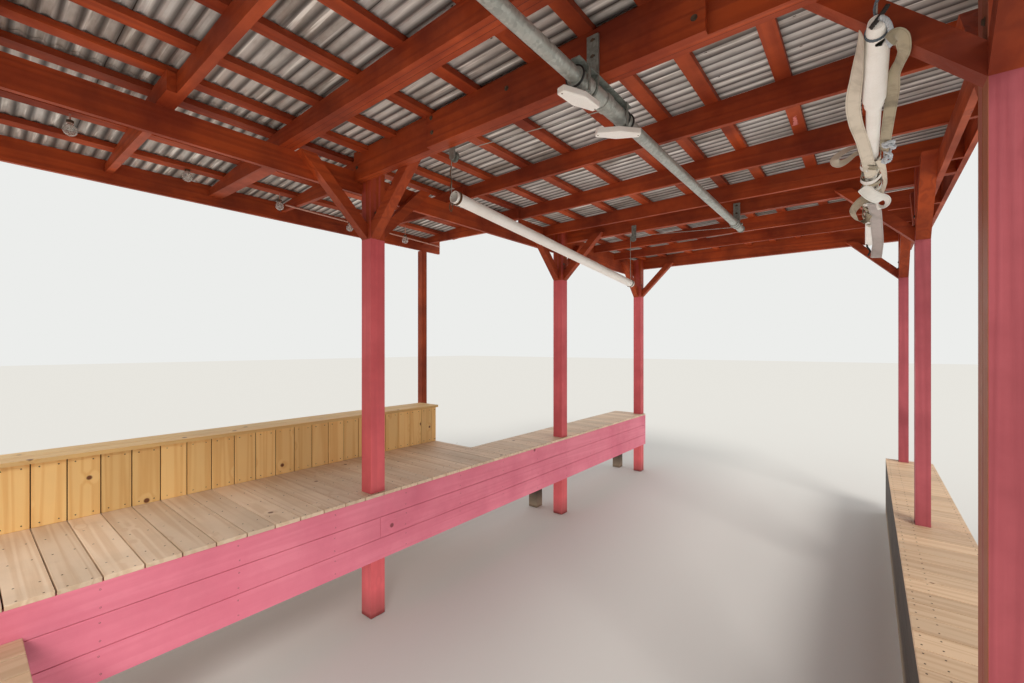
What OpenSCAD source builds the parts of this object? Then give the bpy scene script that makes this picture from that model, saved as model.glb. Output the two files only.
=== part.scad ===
// Timber boathouse: a posted roof over one boat slip, with a lean-to over the shore-side deck.
// X runs from the shore to the lake, Y along the slip, Z up from the waterline.

/* [Bays] */
// Post to post along the bay at the cross walkway
bay_near = 3040; // [2400:10:3600]
// Post to post along the middle bay
bay_mid = 3070; // [2400:10:3600]
// Post to post along the bay at the slip's mouth
bay_far = 2770; // [2300:10:3600]
// Roof beyond the outer girders at both ends
roof_overhang = 94; // [40:2:300]

/* [Slip and walkways] */
// Clear width of the slip, from the dock's face to the lake-side walkway
slip_w = 3510; // [2800:10:4200]
// Width of the lake-side walkway
walk_w = 490; // [420:10:800]
// Height of the shore-side deck above the water
deck_h = 1082; // [950:2:1300]
// Drop of the lake-side walkway below the deck
walk_drop = 304; // [200:2:400]
// Drop of the cross walkway below the deck
cross_drop = 184; // [60:2:190]
// Width of the cross walkway along the slip
cross_w = 1165; // [800:5:1500]
// Width of the shore-side deck beside the kneewall
deck_w = 1266; // [1000:2:1600]
// Width of the deck past the kneewall
deck_narrow_w = 610; // [450:2:800]
// Length of the wide deck from the middle of the first row of posts
deck_wide_l = 4810; // [4000:10:5600]

/* [Boards] */
// Thickness of the deck and walkway boards
board_t = 28; // [22:1:38]
// Width of one board with its gap
board_pitch = 184; // [120:1:240]
// Gap between two boards
board_gap = 7; // [3:1:12]
// Depth of the joint that is cut between two boards
board_joint = 9; // [3:1:18]

/* [Posts] */
// Side of the shore-side posts
post_w = 140; // [89:1:184]
// Thickness across the slip of the lake-side posts
post_thin = 102; // [76:1:140]
// Setback of the lake-side posts from the walkway's slip edge
post_setback = 135; // [60:1:200]
// Depth along the slip of each half of the doubled post
pair_d = 86; // [70:1:130]
// Gap between the halves of the doubled post
pair_gap = 4; // [3:1:20]
// Side of the small posts under the eave beam
eave_post_w = 89; // [76:1:110]

/* [Timber] */
// Thickness of planed framing boards
ply = 38; // [32:1:45]
// Depth of the long beams that carry the joists
beam_d = 184; // [140:1:220]
// Height of the long beams' tops above the water
beam_top = 3884; // [3780:1:3940]
// Thickness of the first joists of the near bay and of their rafters
near_joist_t = 50; // [38:2:76]
// Boards side by side in the joist before the second row of posts
hoist_joist_plies = 3; // [2:1:4]
// Height of the undersides of the near girders below the beams' tops
girder_drop = 86; // [60:1:150]
// Height of the undersides of the far girders below the beams' tops
far_girder_drop = 47; // [40:1:120]
// Width of the purlins, laid flat
purlin_w = 89; // [64:1:120]
// Side of the braces between posts and girders
brace_w = 89; // [64:1:100]
// Drop from the long beams' tops to where the braces spring from the posts
brace_drop = 584; // [400:4:800]
// Reach of the hoist girder's stiffener from the pipe towards the shore
stiffener_shore = 1330; // [600:10:1800]
// Reach of the stiffener from the pipe towards the lake
stiffener_lake = 590; // [400:10:1000]

/* [Roof] */
// Rise of the joists above the shore-side beam
joist_rise = 120; // [100:1:220]
// Rise of the slip roof towards the lake, in millimetres per metre
slip_rise = 20; // [5:1:60]
// Fall of the lean-to towards the shore, in millimetres per metre
lean_fall = 80; // [60:1:120]
// Depth of the lean-to's rafters beside the shore-side beam, below its top
rafter_heel = 91; // [40:1:140]
// Depth of the rafters at the eave
rafter_tip = 64; // [38:1:120]
// Shore-side reach of the lean-to's eave beam from the dock's face
eave_reach = 1682; // [1500:2:1900]
// Lean-to past the wide deck's end
lean_extra = 460; // [200:10:600]
// Corrugation width
wave_pitch = 76; // [60:1:100]
// Corrugation depth
wave_d = 17; // [10:1:22]
// Sheet thickness
sheet_t = 1.2; // [0.6:0.1:2]

/* [Kneewall] */
// Height of the wall's cap above the deck
wall_h = 486; // [350:2:900]
// Width of the cap
cap_w = 380; // [200:5:420]
// Thickness of the wall boards
wall_t = 19; // [12:1:28]

/* [Hoist] */
// Outer diameter of the winding pipe
pipe_od = 76; // [60:1:90]
// Wall of the winding pipe
pipe_wall = 5; // [3:0.5:8]
// Distance of the pipe from the dock's face
pipe_x = 2150; // [1800:10:2600]
// Drop of the pipe's middle below the long beams' tops
pipe_drop = 146; // [140:1:200]
// Pipe past the middle of the third row of posts
pipe_past = 380; // [200:10:600]
// Diameter of the cable drum
drum_d = 96; // [86:1:104]
// Length of the drum before the hoist girder
drum_near_l = 140; // [60:5:400]
// Length of the drum under the hoist girder and past it
drum_far_l = 458; // [200:2:700]
// Sideways distance from the pipe to the shore-side sheaves
sheave_left = 1185; // [900:5:1500]
// Distance from the lake-side posts to the lake-side cables
lake_setback = 301; // [200:1:500]
// Diameter of the hoist cables
cable_d = 6; // [4:0.5:10]
// Diameter of the spreader tubes
spreader_d = 88; // [60:1:110]
// Drop of the shore-side tube's near end below the pipe
spreader_drop = 297; // [200:1:500]
// Drop of its far end below the near end
spreader_lean = 275; // [0:5:600]
// Drop of the lake-side tube's near end below the pipe
lake_drop = 201; // [180:1:500]
// Drop of its far end below the near end
lake_lean = 161; // [0:1:600]
// Diameter of the lake-side tube past its near sleeve
lake_tube_d = 60; // [40:1:80]
// Length of the near sleeve
sleeve_l = 570; // [300:10:900]
// Length of the sling's turns on the lake-side tube
sling_l = 1550; // [600:10:1900]
// Width of the sling's straps
sling_w = 50; // [40:1:75]

/* [Fittings] */
// Spacing of the bulbs under the lean-to
bulb_pitch = 785; // [600:5:1000]
// Length of a lamp
lamp_l = 265; // [180:1:320]
// Width of a lamp at its middle
lamp_w = 100; // [50:1:120]
// Diameter of a bulb
bulb_d = 80; // [45:1:95]
// Diameter of the conduit
conduit_d = 16; // [12:1:25]

/* [Hidden] */
$fn = 32;

upper_red = [0.46, 0.17, 0.11];
lower_red = [0.74, 0.33, 0.36];
pine = [0.80, 0.66, 0.47];
weathered = [0.20, 0.18, 0.15];
steel = [0.62, 0.63, 0.61];

// Levels
walk_h = deck_h - walk_drop;
cross_h = deck_h - cross_drop;
roof_low = beam_top + joist_rise;
pipe_z = beam_top - pipe_drop;
girder_bottom = beam_top - girder_drop;

// Places along the slip
outer_t = 2 * ply;
length = bay_near + bay_mid + bay_far + 2 * (post_w / 2 + outer_t + roof_overhang);
y_near = -length / 2;
y_far = length / 2;
row_0 = y_near + roof_overhang + outer_t + post_w / 2;
row_a = row_0 + bay_near;
row_b = row_a + bay_mid;
row_c = row_b + bay_far;
rows = [row_0, row_a, row_b, row_c];
deck_near = y_near + 10;
deck_far = row_c + post_w / 2;
deck_step = row_0 + deck_wide_l;
cross_far = deck_near + cross_w;
lean_far = deck_step + lean_extra;

// Places across the slip
eave_over = 80;
lake_over = 60;
reach_left = eave_reach + ply + eave_over;
reach_right = slip_w + walk_w + lake_over - ply;
fascia_x = (reach_left - reach_right) / 2;
x_left = fascia_x - reach_left;
x_right = fascia_x + reach_right;
post_x = fascia_x - ply - post_w;
left_beam_x = post_x - ply;
walk_x = fascia_x + slip_w;
walk_outer = walk_x + walk_w;
right_post_x = walk_x + post_setback;
right_post_out = right_post_x + post_thin;
rim_x = walk_outer - 80;
eave_x = fascia_x - eave_reach;
wall_x = fascia_x - deck_w;
hoist_x = fascia_x + pipe_x;

// The roof's two slopes, with the purlins laid a hair above the joists
purlin_t = ply;
seat = 0.02;
function roof_z(x) = x > post_x
    ? roof_low + (x - post_x) * slip_rise / 1000
    : roof_low + (x - post_x) * lean_fall / 1000;
function sheet_z(x) = roof_z(x) + seat + purlin_t;

// Joists as shares of their bay, with their thickness
near_joist_rows = [for (k = [0.264, 0.521]) row_0 + k * bay_near];
hoist_joist_row = row_0 + 0.763 * bay_near;
hoist_joist_t = hoist_joist_plies * ply;
middle_joist_rows = [for (k = [0.327, 0.626, 0.902]) row_a + k * bay_mid];
far_joist_rows = [for (k = [0.415, 0.684]) row_b + k * bay_far];

hoist_girder_near = row_a - post_w / 2 - outer_t;
middle_girder_near = row_b + post_w / 2;

// A block between two corners
module block(low, high) {
    translate(low) cube(high - low);
}

// A profile in X and Z, given its thickness along Y
module upright(y, t) {
    translate([0, y + t, 0]) rotate([90, 0, 0]) linear_extrude(t) children();
}

// A profile in Y and Z, given its thickness along X
module sideways(x, t) {
    translate([x, 0, 0]) rotate([90, 0, 90]) linear_extrude(t) children();
}

// Boards side by side, none narrower than this, their tops at z = 0, with a cut joint between each two
narrowest = 20;

module planks(long, wide) {
    difference() {
        translate([0, 0, -board_t]) cube([wide, long, board_t]);
        for (x = [board_pitch : board_pitch : wide - narrowest])
            translate([x - board_gap, -1, -board_joint]) cube([board_gap, long + 2, board_joint + 1]);
    }
}

// Boards laid across the slip between two corners
module cross_boards(x0, x1, y0, y1, top) {
    translate([x1, y0, top]) rotate([0, 0, 90]) planks(x1 - x0, y1 - y0);
}

// Clearance holes where posts come up through boards
module post_holes(x0, x1, y_list, half) {
    for (y = y_list) block([x0 - 3, y - half - 3, -10], [x1 + 3, y + half + 3, deck_h + 100]);
}

// Posts
module left_posts() {
    color(lower_red) for (y = rows) left_post(y);
}

module left_post(y) {
    block([post_x, y - post_w / 2, 0], [post_x + post_w, y + post_w / 2, roof_low]);
}

// The lake-side posts run up to the sheets, and the one in the second row is doubled
module right_posts() {
    color(lower_red) {
        for (y = [row_0, row_b, row_c]) right_post(y - post_w / 2, post_w);
        for (k = [0, 1]) right_post(row_a - post_w / 2 + k * (pair_d + pair_gap), pair_d);
    }
}

module right_post(y, t) {
    upright(y, t) polygon([
        [right_post_x, 0], [right_post_out, 0],
        [right_post_out, sheet_z(right_post_out)], [right_post_x, sheet_z(right_post_x)]
    ]);
}

far_eave_post = 315;

module eave_posts() {
    top = eave_beam_bottom();
    color(upper_red) for (y = [row_0, lean_far - far_eave_post])
        block([eave_x - eave_post_w, y - eave_post_w / 2, 0], [eave_x, y + eave_post_w / 2, top]);
}

// Beams along the slip
function beam_ends() = [row_0 - post_w / 2 - outer_t, row_c + post_w / 2 + outer_t];

// Past the lean-to a rim board stands on the shore-side beam and closes the joists' ends
module left_beam() {
    color(upper_red) {
        block([left_beam_x, beam_ends()[0], beam_top - beam_d], [post_x, beam_ends()[1], beam_top]);
        block([left_beam_x, lean_far, beam_top - beam_d], [post_x, beam_ends()[1], roof_z(left_beam_x)]);
    }
}

module right_beam() {
    color(upper_red)
        block([right_post_out, beam_ends()[0], beam_top - beam_d],
            [right_post_out + ply, beam_ends()[1], beam_top]);
}

function eave_beam_bottom() = sheet_z(eave_x - ply) - beam_d;

module eave_beam() {
    color(upper_red) upright(y_near + 20, lean_far - y_near - 40) polygon([
        [eave_x - ply, eave_beam_bottom()], [eave_x, eave_beam_bottom()],
        [eave_x, sheet_z(eave_x)], [eave_x - ply, sheet_z(eave_x - ply)]
    ]);
}

// Girders on the rows of posts, up to the sheets and notched over the lake-side beam
module girder(y, t, drop) {
    bottom = beam_top - drop;
    color(upper_red) upright(y, t) polygon([
        [post_x, bottom], [right_post_out, bottom], [right_post_out, beam_top], [rim_x, beam_top],
        [rim_x, sheet_z(rim_x)], [post_x, sheet_z(post_x)]
    ]);
}

module end_girders() {
    girder(row_0 - post_w / 2 - outer_t, outer_t, girder_drop);
    girder(row_c + post_w / 2, outer_t, far_girder_drop);
}

module hoist_girder() {
    girder(hoist_girder_near, outer_t, girder_drop);
}

module middle_girder() {
    girder(middle_girder_near, outer_t, far_girder_drop);
}

// A board on the hoist girder's near face, where the hoist hangs
module girder_stiffener() {
    x0 = hoist_x - stiffener_shore;
    x1 = hoist_x + stiffener_lake;
    color(upper_red) upright(hoist_girder_near - ply, ply) polygon([
        [x0, girder_bottom], [x1, girder_bottom], [x1, roof_z(x1)], [x0, roof_z(x0)]
    ]);
}

// Joists between the rows, level below and cut to the roof's slope above
module joist(y, t) {
    x0 = y < lean_far ? left_beam_x : post_x;
    color(upper_red) upright(y - t / 2, t) polygon([
        [x0, beam_top], [rim_x, beam_top], [rim_x, roof_z(rim_x)], [post_x, roof_low], [x0, roof_z(x0)]
    ]);
}

module near_joists() {
    for (y = near_joist_rows) joist(y, near_joist_t);
    joist(hoist_joist_row, hoist_joist_t);
}

module middle_joists() {
    for (y = middle_joist_rows) joist(y, ply);
}

module far_joists() {
    for (y = far_joist_rows) joist(y, ply);
}

// Rafters of the lean-to, notched over the shore-side beam and tapering to the eave
rafter_lap = 240;

module rafter(y, t, x_in) {
    over = x_in > left_beam_x ? [[left_beam_x, beam_top], [x_in, beam_top]] : [];
    ridge = x_in > post_x ? [[post_x, roof_low]] : [];
    color(upper_red) upright(y, t) polygon(concat(
        [[eave_x, roof_z(eave_x) - rafter_tip], [left_beam_x, beam_top - rafter_heel]],
        over, [[x_in, min(roof_low, roof_z(x_in))]], ridge, [[eave_x, roof_z(eave_x)]]
    ));
}

module lean_to_rafters() {
    for (y = near_joist_rows) rafter(y - 1.5 * near_joist_t, near_joist_t, post_x + rafter_lap);
    for (y = middle_joist_rows) if (y < lean_far - rafter_lap) rafter(y - 1.5 * ply, ply, post_x + rafter_lap);
    for (y = [row_0, row_a]) rafter(y - post_w / 2 - ply, ply, post_x);
    rafter_stub(hoist_joist_row - hoist_joist_t / 2, hoist_joist_t);
}

// The triple joist's rafter is in line with it and butts on it over the beam's outer face
module rafter_stub(y, t) {
    rafter(y, t, left_beam_x);
}

// Purlins, laid flat on the joists and butted to the girders
slip_purlin_x = [
    for (k = [0.03, 0.124, 0.235, 0.345, 0.467, 0.551, 0.634, 0.739, 0.845]) post_x + k * (rim_x - post_x),
    rim_x - purlin_w - 2
];
lean_purlin_x = [post_x - 130 - purlin_w / 2, (post_x + eave_x) / 2 - purlin_w / 2, eave_x + 290];

module slope_bar(x, y0, y1) {
    upright(y0, y1 - y0) polygon([
        [x, roof_z(x) + seat], [x + purlin_w, roof_z(x + purlin_w) + seat],
        [x + purlin_w, sheet_z(x + purlin_w)], [x, sheet_z(x)]
    ]);
}

module slip_purlins() {
    near_0 = row_0 - post_w / 2 - outer_t;
    bays = [
        [y_near + 12, near_0],
        [near_0 + outer_t, hoist_girder_near],
        [hoist_girder_near + outer_t, middle_girder_near],
        [middle_girder_near + outer_t, row_c + post_w / 2],
        [row_c + post_w / 2 + outer_t, y_far - 12]
    ];
    color(upper_red) for (x = slip_purlin_x) for (b = bays) slope_bar(x, b[0], b[1]);
}

module lean_to_purlins() {
    color(upper_red) for (x = lean_purlin_x) slope_bar(x, y_near + 12, lean_far - 12);
}

module lake_rim() {
    color(upper_red) upright(y_near + 12, length - 24) polygon([
        [rim_x, beam_top], [rim_x + ply, beam_top],
        [rim_x + ply, sheet_z(rim_x + ply)], [rim_x, sheet_z(rim_x)]
    ]);
}

// Corrugated sheets: a wavy line along Y, given a thickness and run up the slope
function wave(y) = wave_d / 2 * (1 - cos(360 * (y - y_near) / wave_pitch));

module corrugated(x0, x1, y0, y1, z0, slope) {
    steps = ceil((y1 - y0) / (wave_pitch / 6));
    ys = [for (i = [0:steps]) y0 + (y1 - y0) * i / steps];
    line = concat(
        [for (y = ys) [y, wave(y)]],
        [for (i = [steps:-1:0]) [ys[i], wave(ys[i]) + sheet_t]]
    );
    run = (x1 - x0) / cos(slope);
    color(steel) translate([x0, 0, z0]) rotate([0, -slope, 0]) rotate([90, 0, 90])
        linear_extrude(run) polygon(line);
}

sheet_lap = 120;

module slip_roof() {
    x0 = post_x - sheet_lap;
    corrugated(x0, x_right, y_near, y_far, sheet_z(post_x) - sheet_lap * slip_rise / 1000,
        atan(slip_rise / 1000));
}

module lean_to_roof() {
    x1 = post_x - sheet_lap / 2;
    corrugated(x_left, x1, y_near, lean_far, sheet_z(x_left), atan(lean_fall / 1000));
}

// Braces along the slip from the posts up to the joists' level, against the slip side of each long beam
module rising(from, side) {
    cut = brace_w * sqrt(2);
    foot = beam_top - brace_drop;
    polygon([
        [from, foot], [from + side * brace_drop, beam_top],
        [from + side * (brace_drop - cut), beam_top], [from, foot + cut]
    ]);
}

module beam_braces() {
    color(upper_red) for (b = [[post_x, brace_w], [right_post_x, post_thin]]) {
        for (i = [0:2]) sideways(b[0], b[1]) rising(rows[i] + far_face(b[0], i), 1);
        for (i = [1:3]) sideways(b[0], b[1]) rising(rows[i] - post_w / 2, -1);
    }
}

// Distance from a row's middle to the far face of its post
function far_face(x, i) = x > fascia_x && i == 1 ? 2 * pair_d + pair_gap - post_w / 2 : post_w / 2;

// Braces from the posts up to the girders, lapped on the girders' faces
module girder_braces() {
    color(upper_red) for (i = [0:3]) {
        y = i < 2 ? rows[i] - post_w / 2 : rows[i] + post_w / 2 - brace_w;
        upright(y, brace_w) rising(post_x + post_w, 1);
        upright(y, brace_w) rising(right_post_x, -1);
    }
}

// Shore-side deck
deck_past_wall = wall_t + 91;

module deck_boards() {
    color(pine) difference() {
        union() {
            cross_boards(wall_x - deck_past_wall, fascia_x, deck_near, deck_step, deck_h);
            cross_boards(fascia_x - deck_narrow_w, fascia_x, deck_step, deck_far, deck_h);
        }
        post_holes(post_x, post_x + post_w, rows, post_w / 2);
    }
}

deck_joist_d = 184;
deck_under = deck_h - board_t;
walk_joist_d = 140;
walk_under = walk_h - board_t;
cross_joist_d = 140;
cross_under = cross_h - board_t;

module deck_joists() {
    color(weathered) {
        for (x = [left_beam_x, fascia_x - deck_narrow_w]) deck_joist(x, deck_far);
        for (x = [(wall_x + fascia_x - deck_narrow_w) / 2, wall_x - deck_past_wall]) deck_joist(x, deck_step);
    }
}

module deck_joist(x, y1) {
    block([x, deck_near, deck_under - deck_joist_d], [x + ply, y1, deck_under]);
}

// Bearers across the deck and the walkway, on the near faces of posts and piles
function shore_end(y) = y < deck_step ? wall_x - deck_past_wall : fascia_x - deck_narrow_w;

module dock_bearers() {
    color(weathered) {
        for (y = rows) bearer(shore_end(y), fascia_x - ply, y, deck_under - deck_joist_d);
        for (y = [row_a, row_b, row_c]) bearer(walk_x + ply, walk_outer, y, walk_under - walk_joist_d);
    }
}

module bearer(x0, x1, y, top) {
    block([x0, y - post_w / 2 - ply, top - deck_joist_d], [x1, y - post_w / 2, top]);
}

pile_w = 140;
pile_in = 60;

module dock_piles() {
    color(weathered) {
        for (y = rows)
            pile(shore_end(y), y - pile_w / 2, deck_under - deck_joist_d);
        for (y = [deck_near + pile_in, cross_far - pile_w - pile_in])
            pile(hoist_x - pile_w / 2, y, cross_under - cross_joist_d);
    }
}

module pile(x, y, top) {
    block([x, y, 0], [x + pile_w, y + pile_w, top]);
}

fascia_w = 181;

module fascia_boards() {
    color(lower_red) for (i = [0:2]) {
        top = deck_under - i * board_pitch;
        block([fascia_x - ply, deck_near, top - fascia_w], [fascia_x, deck_far, top]);
    }
}

// Kneewall on the deck's shore side
cap_t = 30;
cap_past_wall = 26;
stud_pitch = 600;
stud_d = 89;

module kneewall_boards() {
    height = wall_h - cap_t;
    color(pine) translate([wall_x, deck_near, deck_h]) rotate([90, 0, 90]) mirror([0, 0, 1])
        translate([0, 0, wall_t]) wall_planks(deck_step - deck_near, height);
}

module wall_planks(wide, high) {
    difference() {
        translate([0, 0, -wall_t]) cube([wide, high, wall_t]);
        for (x = [board_pitch : board_pitch : wide - narrowest])
            translate([x - board_gap, -1, -wall_t - 1]) cube([board_gap, high + 2, wall_t / 3 + 1]);
    }
}

wall_back = wall_x - wall_t;

module kneewall_plates() {
    color(pine) for (z = [deck_h, deck_h + wall_h - cap_t - ply])
        block([wall_back - stud_d, deck_near, z], [wall_back, deck_step, z + ply]);
}

// Studs between the plates, each with a bracket on its back that carries the cap
module kneewall_studs() {
    top = deck_h + wall_h - cap_t;
    count = floor((deck_step - deck_near) / stud_pitch);
    step = (deck_step - deck_near - ply) / count;
    back = wall_back - stud_d;
    color(pine) for (i = [0:count]) {
        y = deck_near + i * step;
        block([back, y, deck_h + ply], [wall_back, y + ply, top - ply]);
        upright(y, ply) polygon([
            [back, top - 200], [back, top], [wall_x - cap_w + 60, top], [wall_x - cap_w + 60, top - 30]
        ]);
    }
}

module wall_cap() {
    top = deck_h + wall_h;
    x1 = wall_x + cap_past_wall;
    color(pine) for (k = [0, 1]) {
        a = x1 - cap_w + k * (cap_w + board_gap) / 2;
        block([a, deck_near, top - cap_t], [a + (cap_w - board_gap) / 2, deck_step + 12, top]);
    }
}

// Lake-side walkway

module walkway_boards() {
    pair_far = row_a - post_w / 2 + 2 * pair_d + pair_gap;
    color(pine) difference() {
        cross_boards(walk_x, walk_outer, cross_far + 4, deck_far, walk_h);
        post_holes(right_post_x, right_post_out, [row_b, row_c], post_w / 2);
        block([right_post_x - 3, row_a - post_w / 2 - 3, 0], [right_post_out + 3, pair_far + 3, deck_h]);
    }
}

module walkway_joists() {
    color(weathered) for (x = [right_post_x - ply, right_post_out, walk_outer - ply])
        block([x, cross_far + 4, walk_under - walk_joist_d], [x + ply, deck_far, walk_under]);
}

module walkway_skirt() {
    color([0.08, 0.08, 0.07]) for (i = [0:3]) {
        z = walk_under - i * board_pitch;
        block([walk_x, cross_far + 4, max(10, z - fascia_w)], [walk_x + ply, deck_far, z]);
    }
}

// Cross walkway at the slip's closed end
module cross_walk_boards() {
    color(pine) difference() {
        translate([fascia_x + 4, deck_near, cross_h]) planks(cross_w, slip_w + walk_w - 4);
        post_holes(right_post_x, right_post_out, [row_0], post_w / 2);
    }
}

module cross_walk_joists() {
    color(weathered)
        for (y = [deck_near, row_0 + post_w / 2, deck_near + cross_w * 0.65, cross_far - ply])
            block([fascia_x, y, cross_under - cross_joist_d], [walk_outer, y + ply, cross_under]);
}

// Boat hoist: a winding pipe that turns in three hangers
ring_t = 14;
ring_wall = 14;
plate_t = 6;
run_fit = 0.1;
hang_fit = 6;
pipe_r = pipe_od / 2;
drum_r = drum_d / 2;
stiffener_face = hoist_girder_near - ply;
hoist_far_face = hoist_girder_near + outer_t;
pipe_near = y_near + 4;
pipe_far = row_b + pipe_past;

module tube_y(x, y0, y1, z, r_out, r_in) {
    translate([x, y1, z]) rotate([90, 0, 0]) difference() {
        cylinder(h = y1 - y0, r = r_out);
        translate([0, 0, -1]) cylinder(h = y1 - y0 + 2, r = r_in);
    }
}

module hoist_pipe() {
    color(steel) tube_y(hoist_x, pipe_near, pipe_far, pipe_z, pipe_r, pipe_r - pipe_wall);
}

collar_t = 40;

// The drum's two parts either side of the second hanger, and collars at the third one
module cable_drum() {
    color(steel) {
        drum(stiffener_face - ring_t - hang_fit - drum_near_l, drum_near_l);
        drum(stiffener_face + hang_fit, drum_far_l);
        drum(middle_girder_near - ring_t - hang_fit - collar_t, collar_t);
        drum(middle_girder_near + hang_fit, collar_t);
    }
}

module drum(y, l) {
    tube_y(hoist_x, y, y + l, pipe_z, drum_r, pipe_r);
}

// A ring round the pipe on a slotted plate, bolted to a girder's near face
plate_w = 68;
plate_off = 22;
bolt_slot = [28, 12];
slot_down = 20;
slot_pitch = 86;
plate_rise = 72;

module hanger(y, plate_top) {
    x0 = hoist_x + plate_off - plate_w / 2;
    upright(y - ring_t, ring_t) difference() {
        union() {
            translate([hoist_x, pipe_z]) circle(pipe_r + ring_wall);
            translate([x0, pipe_z]) square([plate_w, plate_top - pipe_z]);
        }
        translate([hoist_x, pipe_z]) circle(pipe_r + run_fit);
        for (k = [0, 1])
            translate([x0 + (plate_w - bolt_slot[0]) / 2, plate_top - slot_down - bolt_slot[1] - k * slot_pitch])
                square(bolt_slot);
    }
}

hangers = [
    [row_0 - post_w / 2 - outer_t, beam_top + plate_rise],
    [stiffener_face, beam_top + plate_rise + 60],
    [middle_girder_near, beam_top + plate_rise]
];

// The hangers, and a flat guide bar under the hoist girder with an arm for each lamp
bar_w = 50;
bar_t = 6;
bar_x = hoist_x + bar_t;
bar_near = hoist_girder_near - 246; // before the girder
bar_far = hoist_far_face + 294; // past it
arm_x = bar_x + bar_w;
arm_w = 20;

module pipe_hangers() {
    color(steel) {
        for (h = hangers) hanger(h[0], h[1]);
        block([bar_x, bar_near, girder_bottom - bar_t], [arm_x, bar_far, girder_bottom]);
        for (l = lamp_places) arm(l[0], l[1]);
    }
}

module arm(y, drop) {
    foot = pipe_z - drop;
    block([arm_x, y - arm_w / 2, foot], [arm_x + bar_t, y + arm_w / 2, girder_bottom]);
    block([hoist_x - arm_w, y - arm_w / 2, foot], [arm_x + bar_t, y + arm_w / 2, foot + bar_t]);
}

// The sheaves: place across the slip, the girder's face they hang on and the side it faces
sheave_r = 38;
sheave_t = 16;
groove_r = 31;
sheave_off = 30;
sheave_plate_d = 60;
plate_lap = 30;
sheaves = [
    [hoist_x - sheave_left, hoist_far_face, 1],
    [hoist_x - sheave_left, middle_girder_near, -1]
];
function sheave_y(s) = s[1] + s[2] * sheave_off;

// Lake-side eyes on the same two girders: place, face and side
lake_x = right_post_x - lake_setback;
lake_shift = 20;
eyes = [[lake_x, hoist_girder_near, -1], [lake_x - lake_shift, middle_girder_near + outer_t, 1]];
function eye_y(e) = e[1] + e[2] * eye_off;
eye_off = 60;
eye_drop = 40;
eye_r = 25;

module sheave_brackets() {
    color(steel) {
        for (s = sheaves) translate([s[0], s[1], pipe_z]) mirror([0, s[2] < 0 ? 1 : 0, 0]) sheave();
        for (e = eyes) translate([e[0], e[1], pipe_z]) mirror([0, e[2] < 0 ? 1 : 0, 0]) eye();
    }
}

// A plate with a rounded foot, an axle and a grooved wheel
module sheave() {
    upright(0, plate_t) {
        translate([-sheave_plate_d / 2, 0]) square([sheave_plate_d, pipe_drop + plate_lap]);
        circle(d = sheave_plate_d);
    }
    rotate([-90, 0, 0]) cylinder(h = sheave_off + sheave_t / 2, r = 9);
    translate([0, sheave_off, 0]) rotate([90, 0, 0]) rotate_extrude() polygon([
        [0, -sheave_t / 2], [sheave_r, -sheave_t / 2], [sheave_r, -sheave_t / 2 + 2],
        [groove_r, -cable_d / 2 - cable_fit], [groove_r, cable_d / 2 + cable_fit],
        [sheave_r, sheave_t / 2 - 2], [sheave_r, sheave_t / 2], [0, sheave_t / 2]
    ]);
}

// An angle whose foot stands out from the girder
module eye() {
    block([-eye_r, 0, -eye_drop], [eye_r, plate_t, pipe_drop + plate_lap]);
    block([-eye_r, 0, -eye_drop], [eye_r, eye_off + eye_r, plate_t - eye_drop]);
}

// A child's Z axis laid from one point to another
module along(a, b) {
    v = b - a;
    translate(a) rotate([0, acos(v[2] / norm(v)), atan2(v[1], v[0])]) children();
}

module rod(a, b, d) {
    along(a, b) cylinder(h = norm(b - a), d = d);
}

// Places of the two spreader tubes that the cables carry
cable_r = cable_d / 2;
cable_fit = 0.5;
bend_thin = 0.15;
bend_r = groove_r + cable_r + cable_fit;
spreader_r = spreader_d / 2;
beside = spreader_r + cable_r + cable_fit;
drop_x = hoist_x - sheave_left - bend_r;
tube_past = 20;
spreader_near = [drop_x + beside, sheave_y(sheaves[0]) - tube_past, pipe_z - spreader_drop];
spreader_far = [drop_x, sheave_y(sheaves[1]) + tube_past, pipe_z - spreader_drop - spreader_lean];
lake_near = [eyes[0][0], eye_y(eyes[0]) - tube_past, pipe_z - lake_drop];
lake_far = [eyes[1][0], eye_y(eyes[1]) + tube_past, pipe_z - lake_drop - lake_lean];

// Height of a tube's axis above a place along the slip
function axis_z(a, b, y) = a[2] + (b[2] - a[2]) * (y - a[1]) / (b[1] - a[1]);

module hoist_cables() {
    color(steel) {
        shore_cable(sheaves[0], -spreader_r);
        shore_cable(sheaves[1], spreader_r + 1);
        for (k = [0, 1]) {
            y = eye_y(eyes[k]);
            over = (k == 0 ? spreader_d : lake_tube_d) / 2 + 1;
            rod([eyes[k][0], y, pipe_z - eye_drop], [eyes[k][0], y, axis_z(lake_near, lake_far, y) + over], cable_d);
        }
    }
}

// From under the drum up to the sheave, over it a little thinner in the bend, and down to the tube
module shore_cable(s, over) {
    y = sheave_y(s);
    wind_r = drum_r + cable_r + cable_fit;
    rise = asin((bend_r + wind_r) / sheave_left);
    translate([s[0], y, pipe_z]) rotate([0, rise, 0]) {
        translate([0, 0, bend_r]) rotate([0, 90, 0]) cylinder(h = sheave_left * cos(rise), r = cable_r);
        rotate([90, 0, 0]) rotate([0, 0, 90]) rotate_extrude(angle = 90 + rise)
            translate([bend_r, 0]) circle(cable_r - bend_thin);
    }
    rod([drop_x, y, pipe_z], [drop_x, y, axis_z(spreader_near, spreader_far, y) + over], cable_d);
}

module spreader_tube() {
    color("white") {
        rod(spreader_near, spreader_far, spreader_d);
        rod(lake_near, lake_far, lake_tube_d);
        along(lake_near, lake_far) cylinder(h = sleeve_l, d = spreader_d);
    }
}

// The sling is wound on the lake-side tube: its turns, and a slack strap on each side
sling_from = 1250;
sling_in = lake_tube_d / 2 + cable_fit;
sling_t = 30;
strap_t = 6;
strap_sag = 100;
strap_off = 2;
strap_end = 60;

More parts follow.
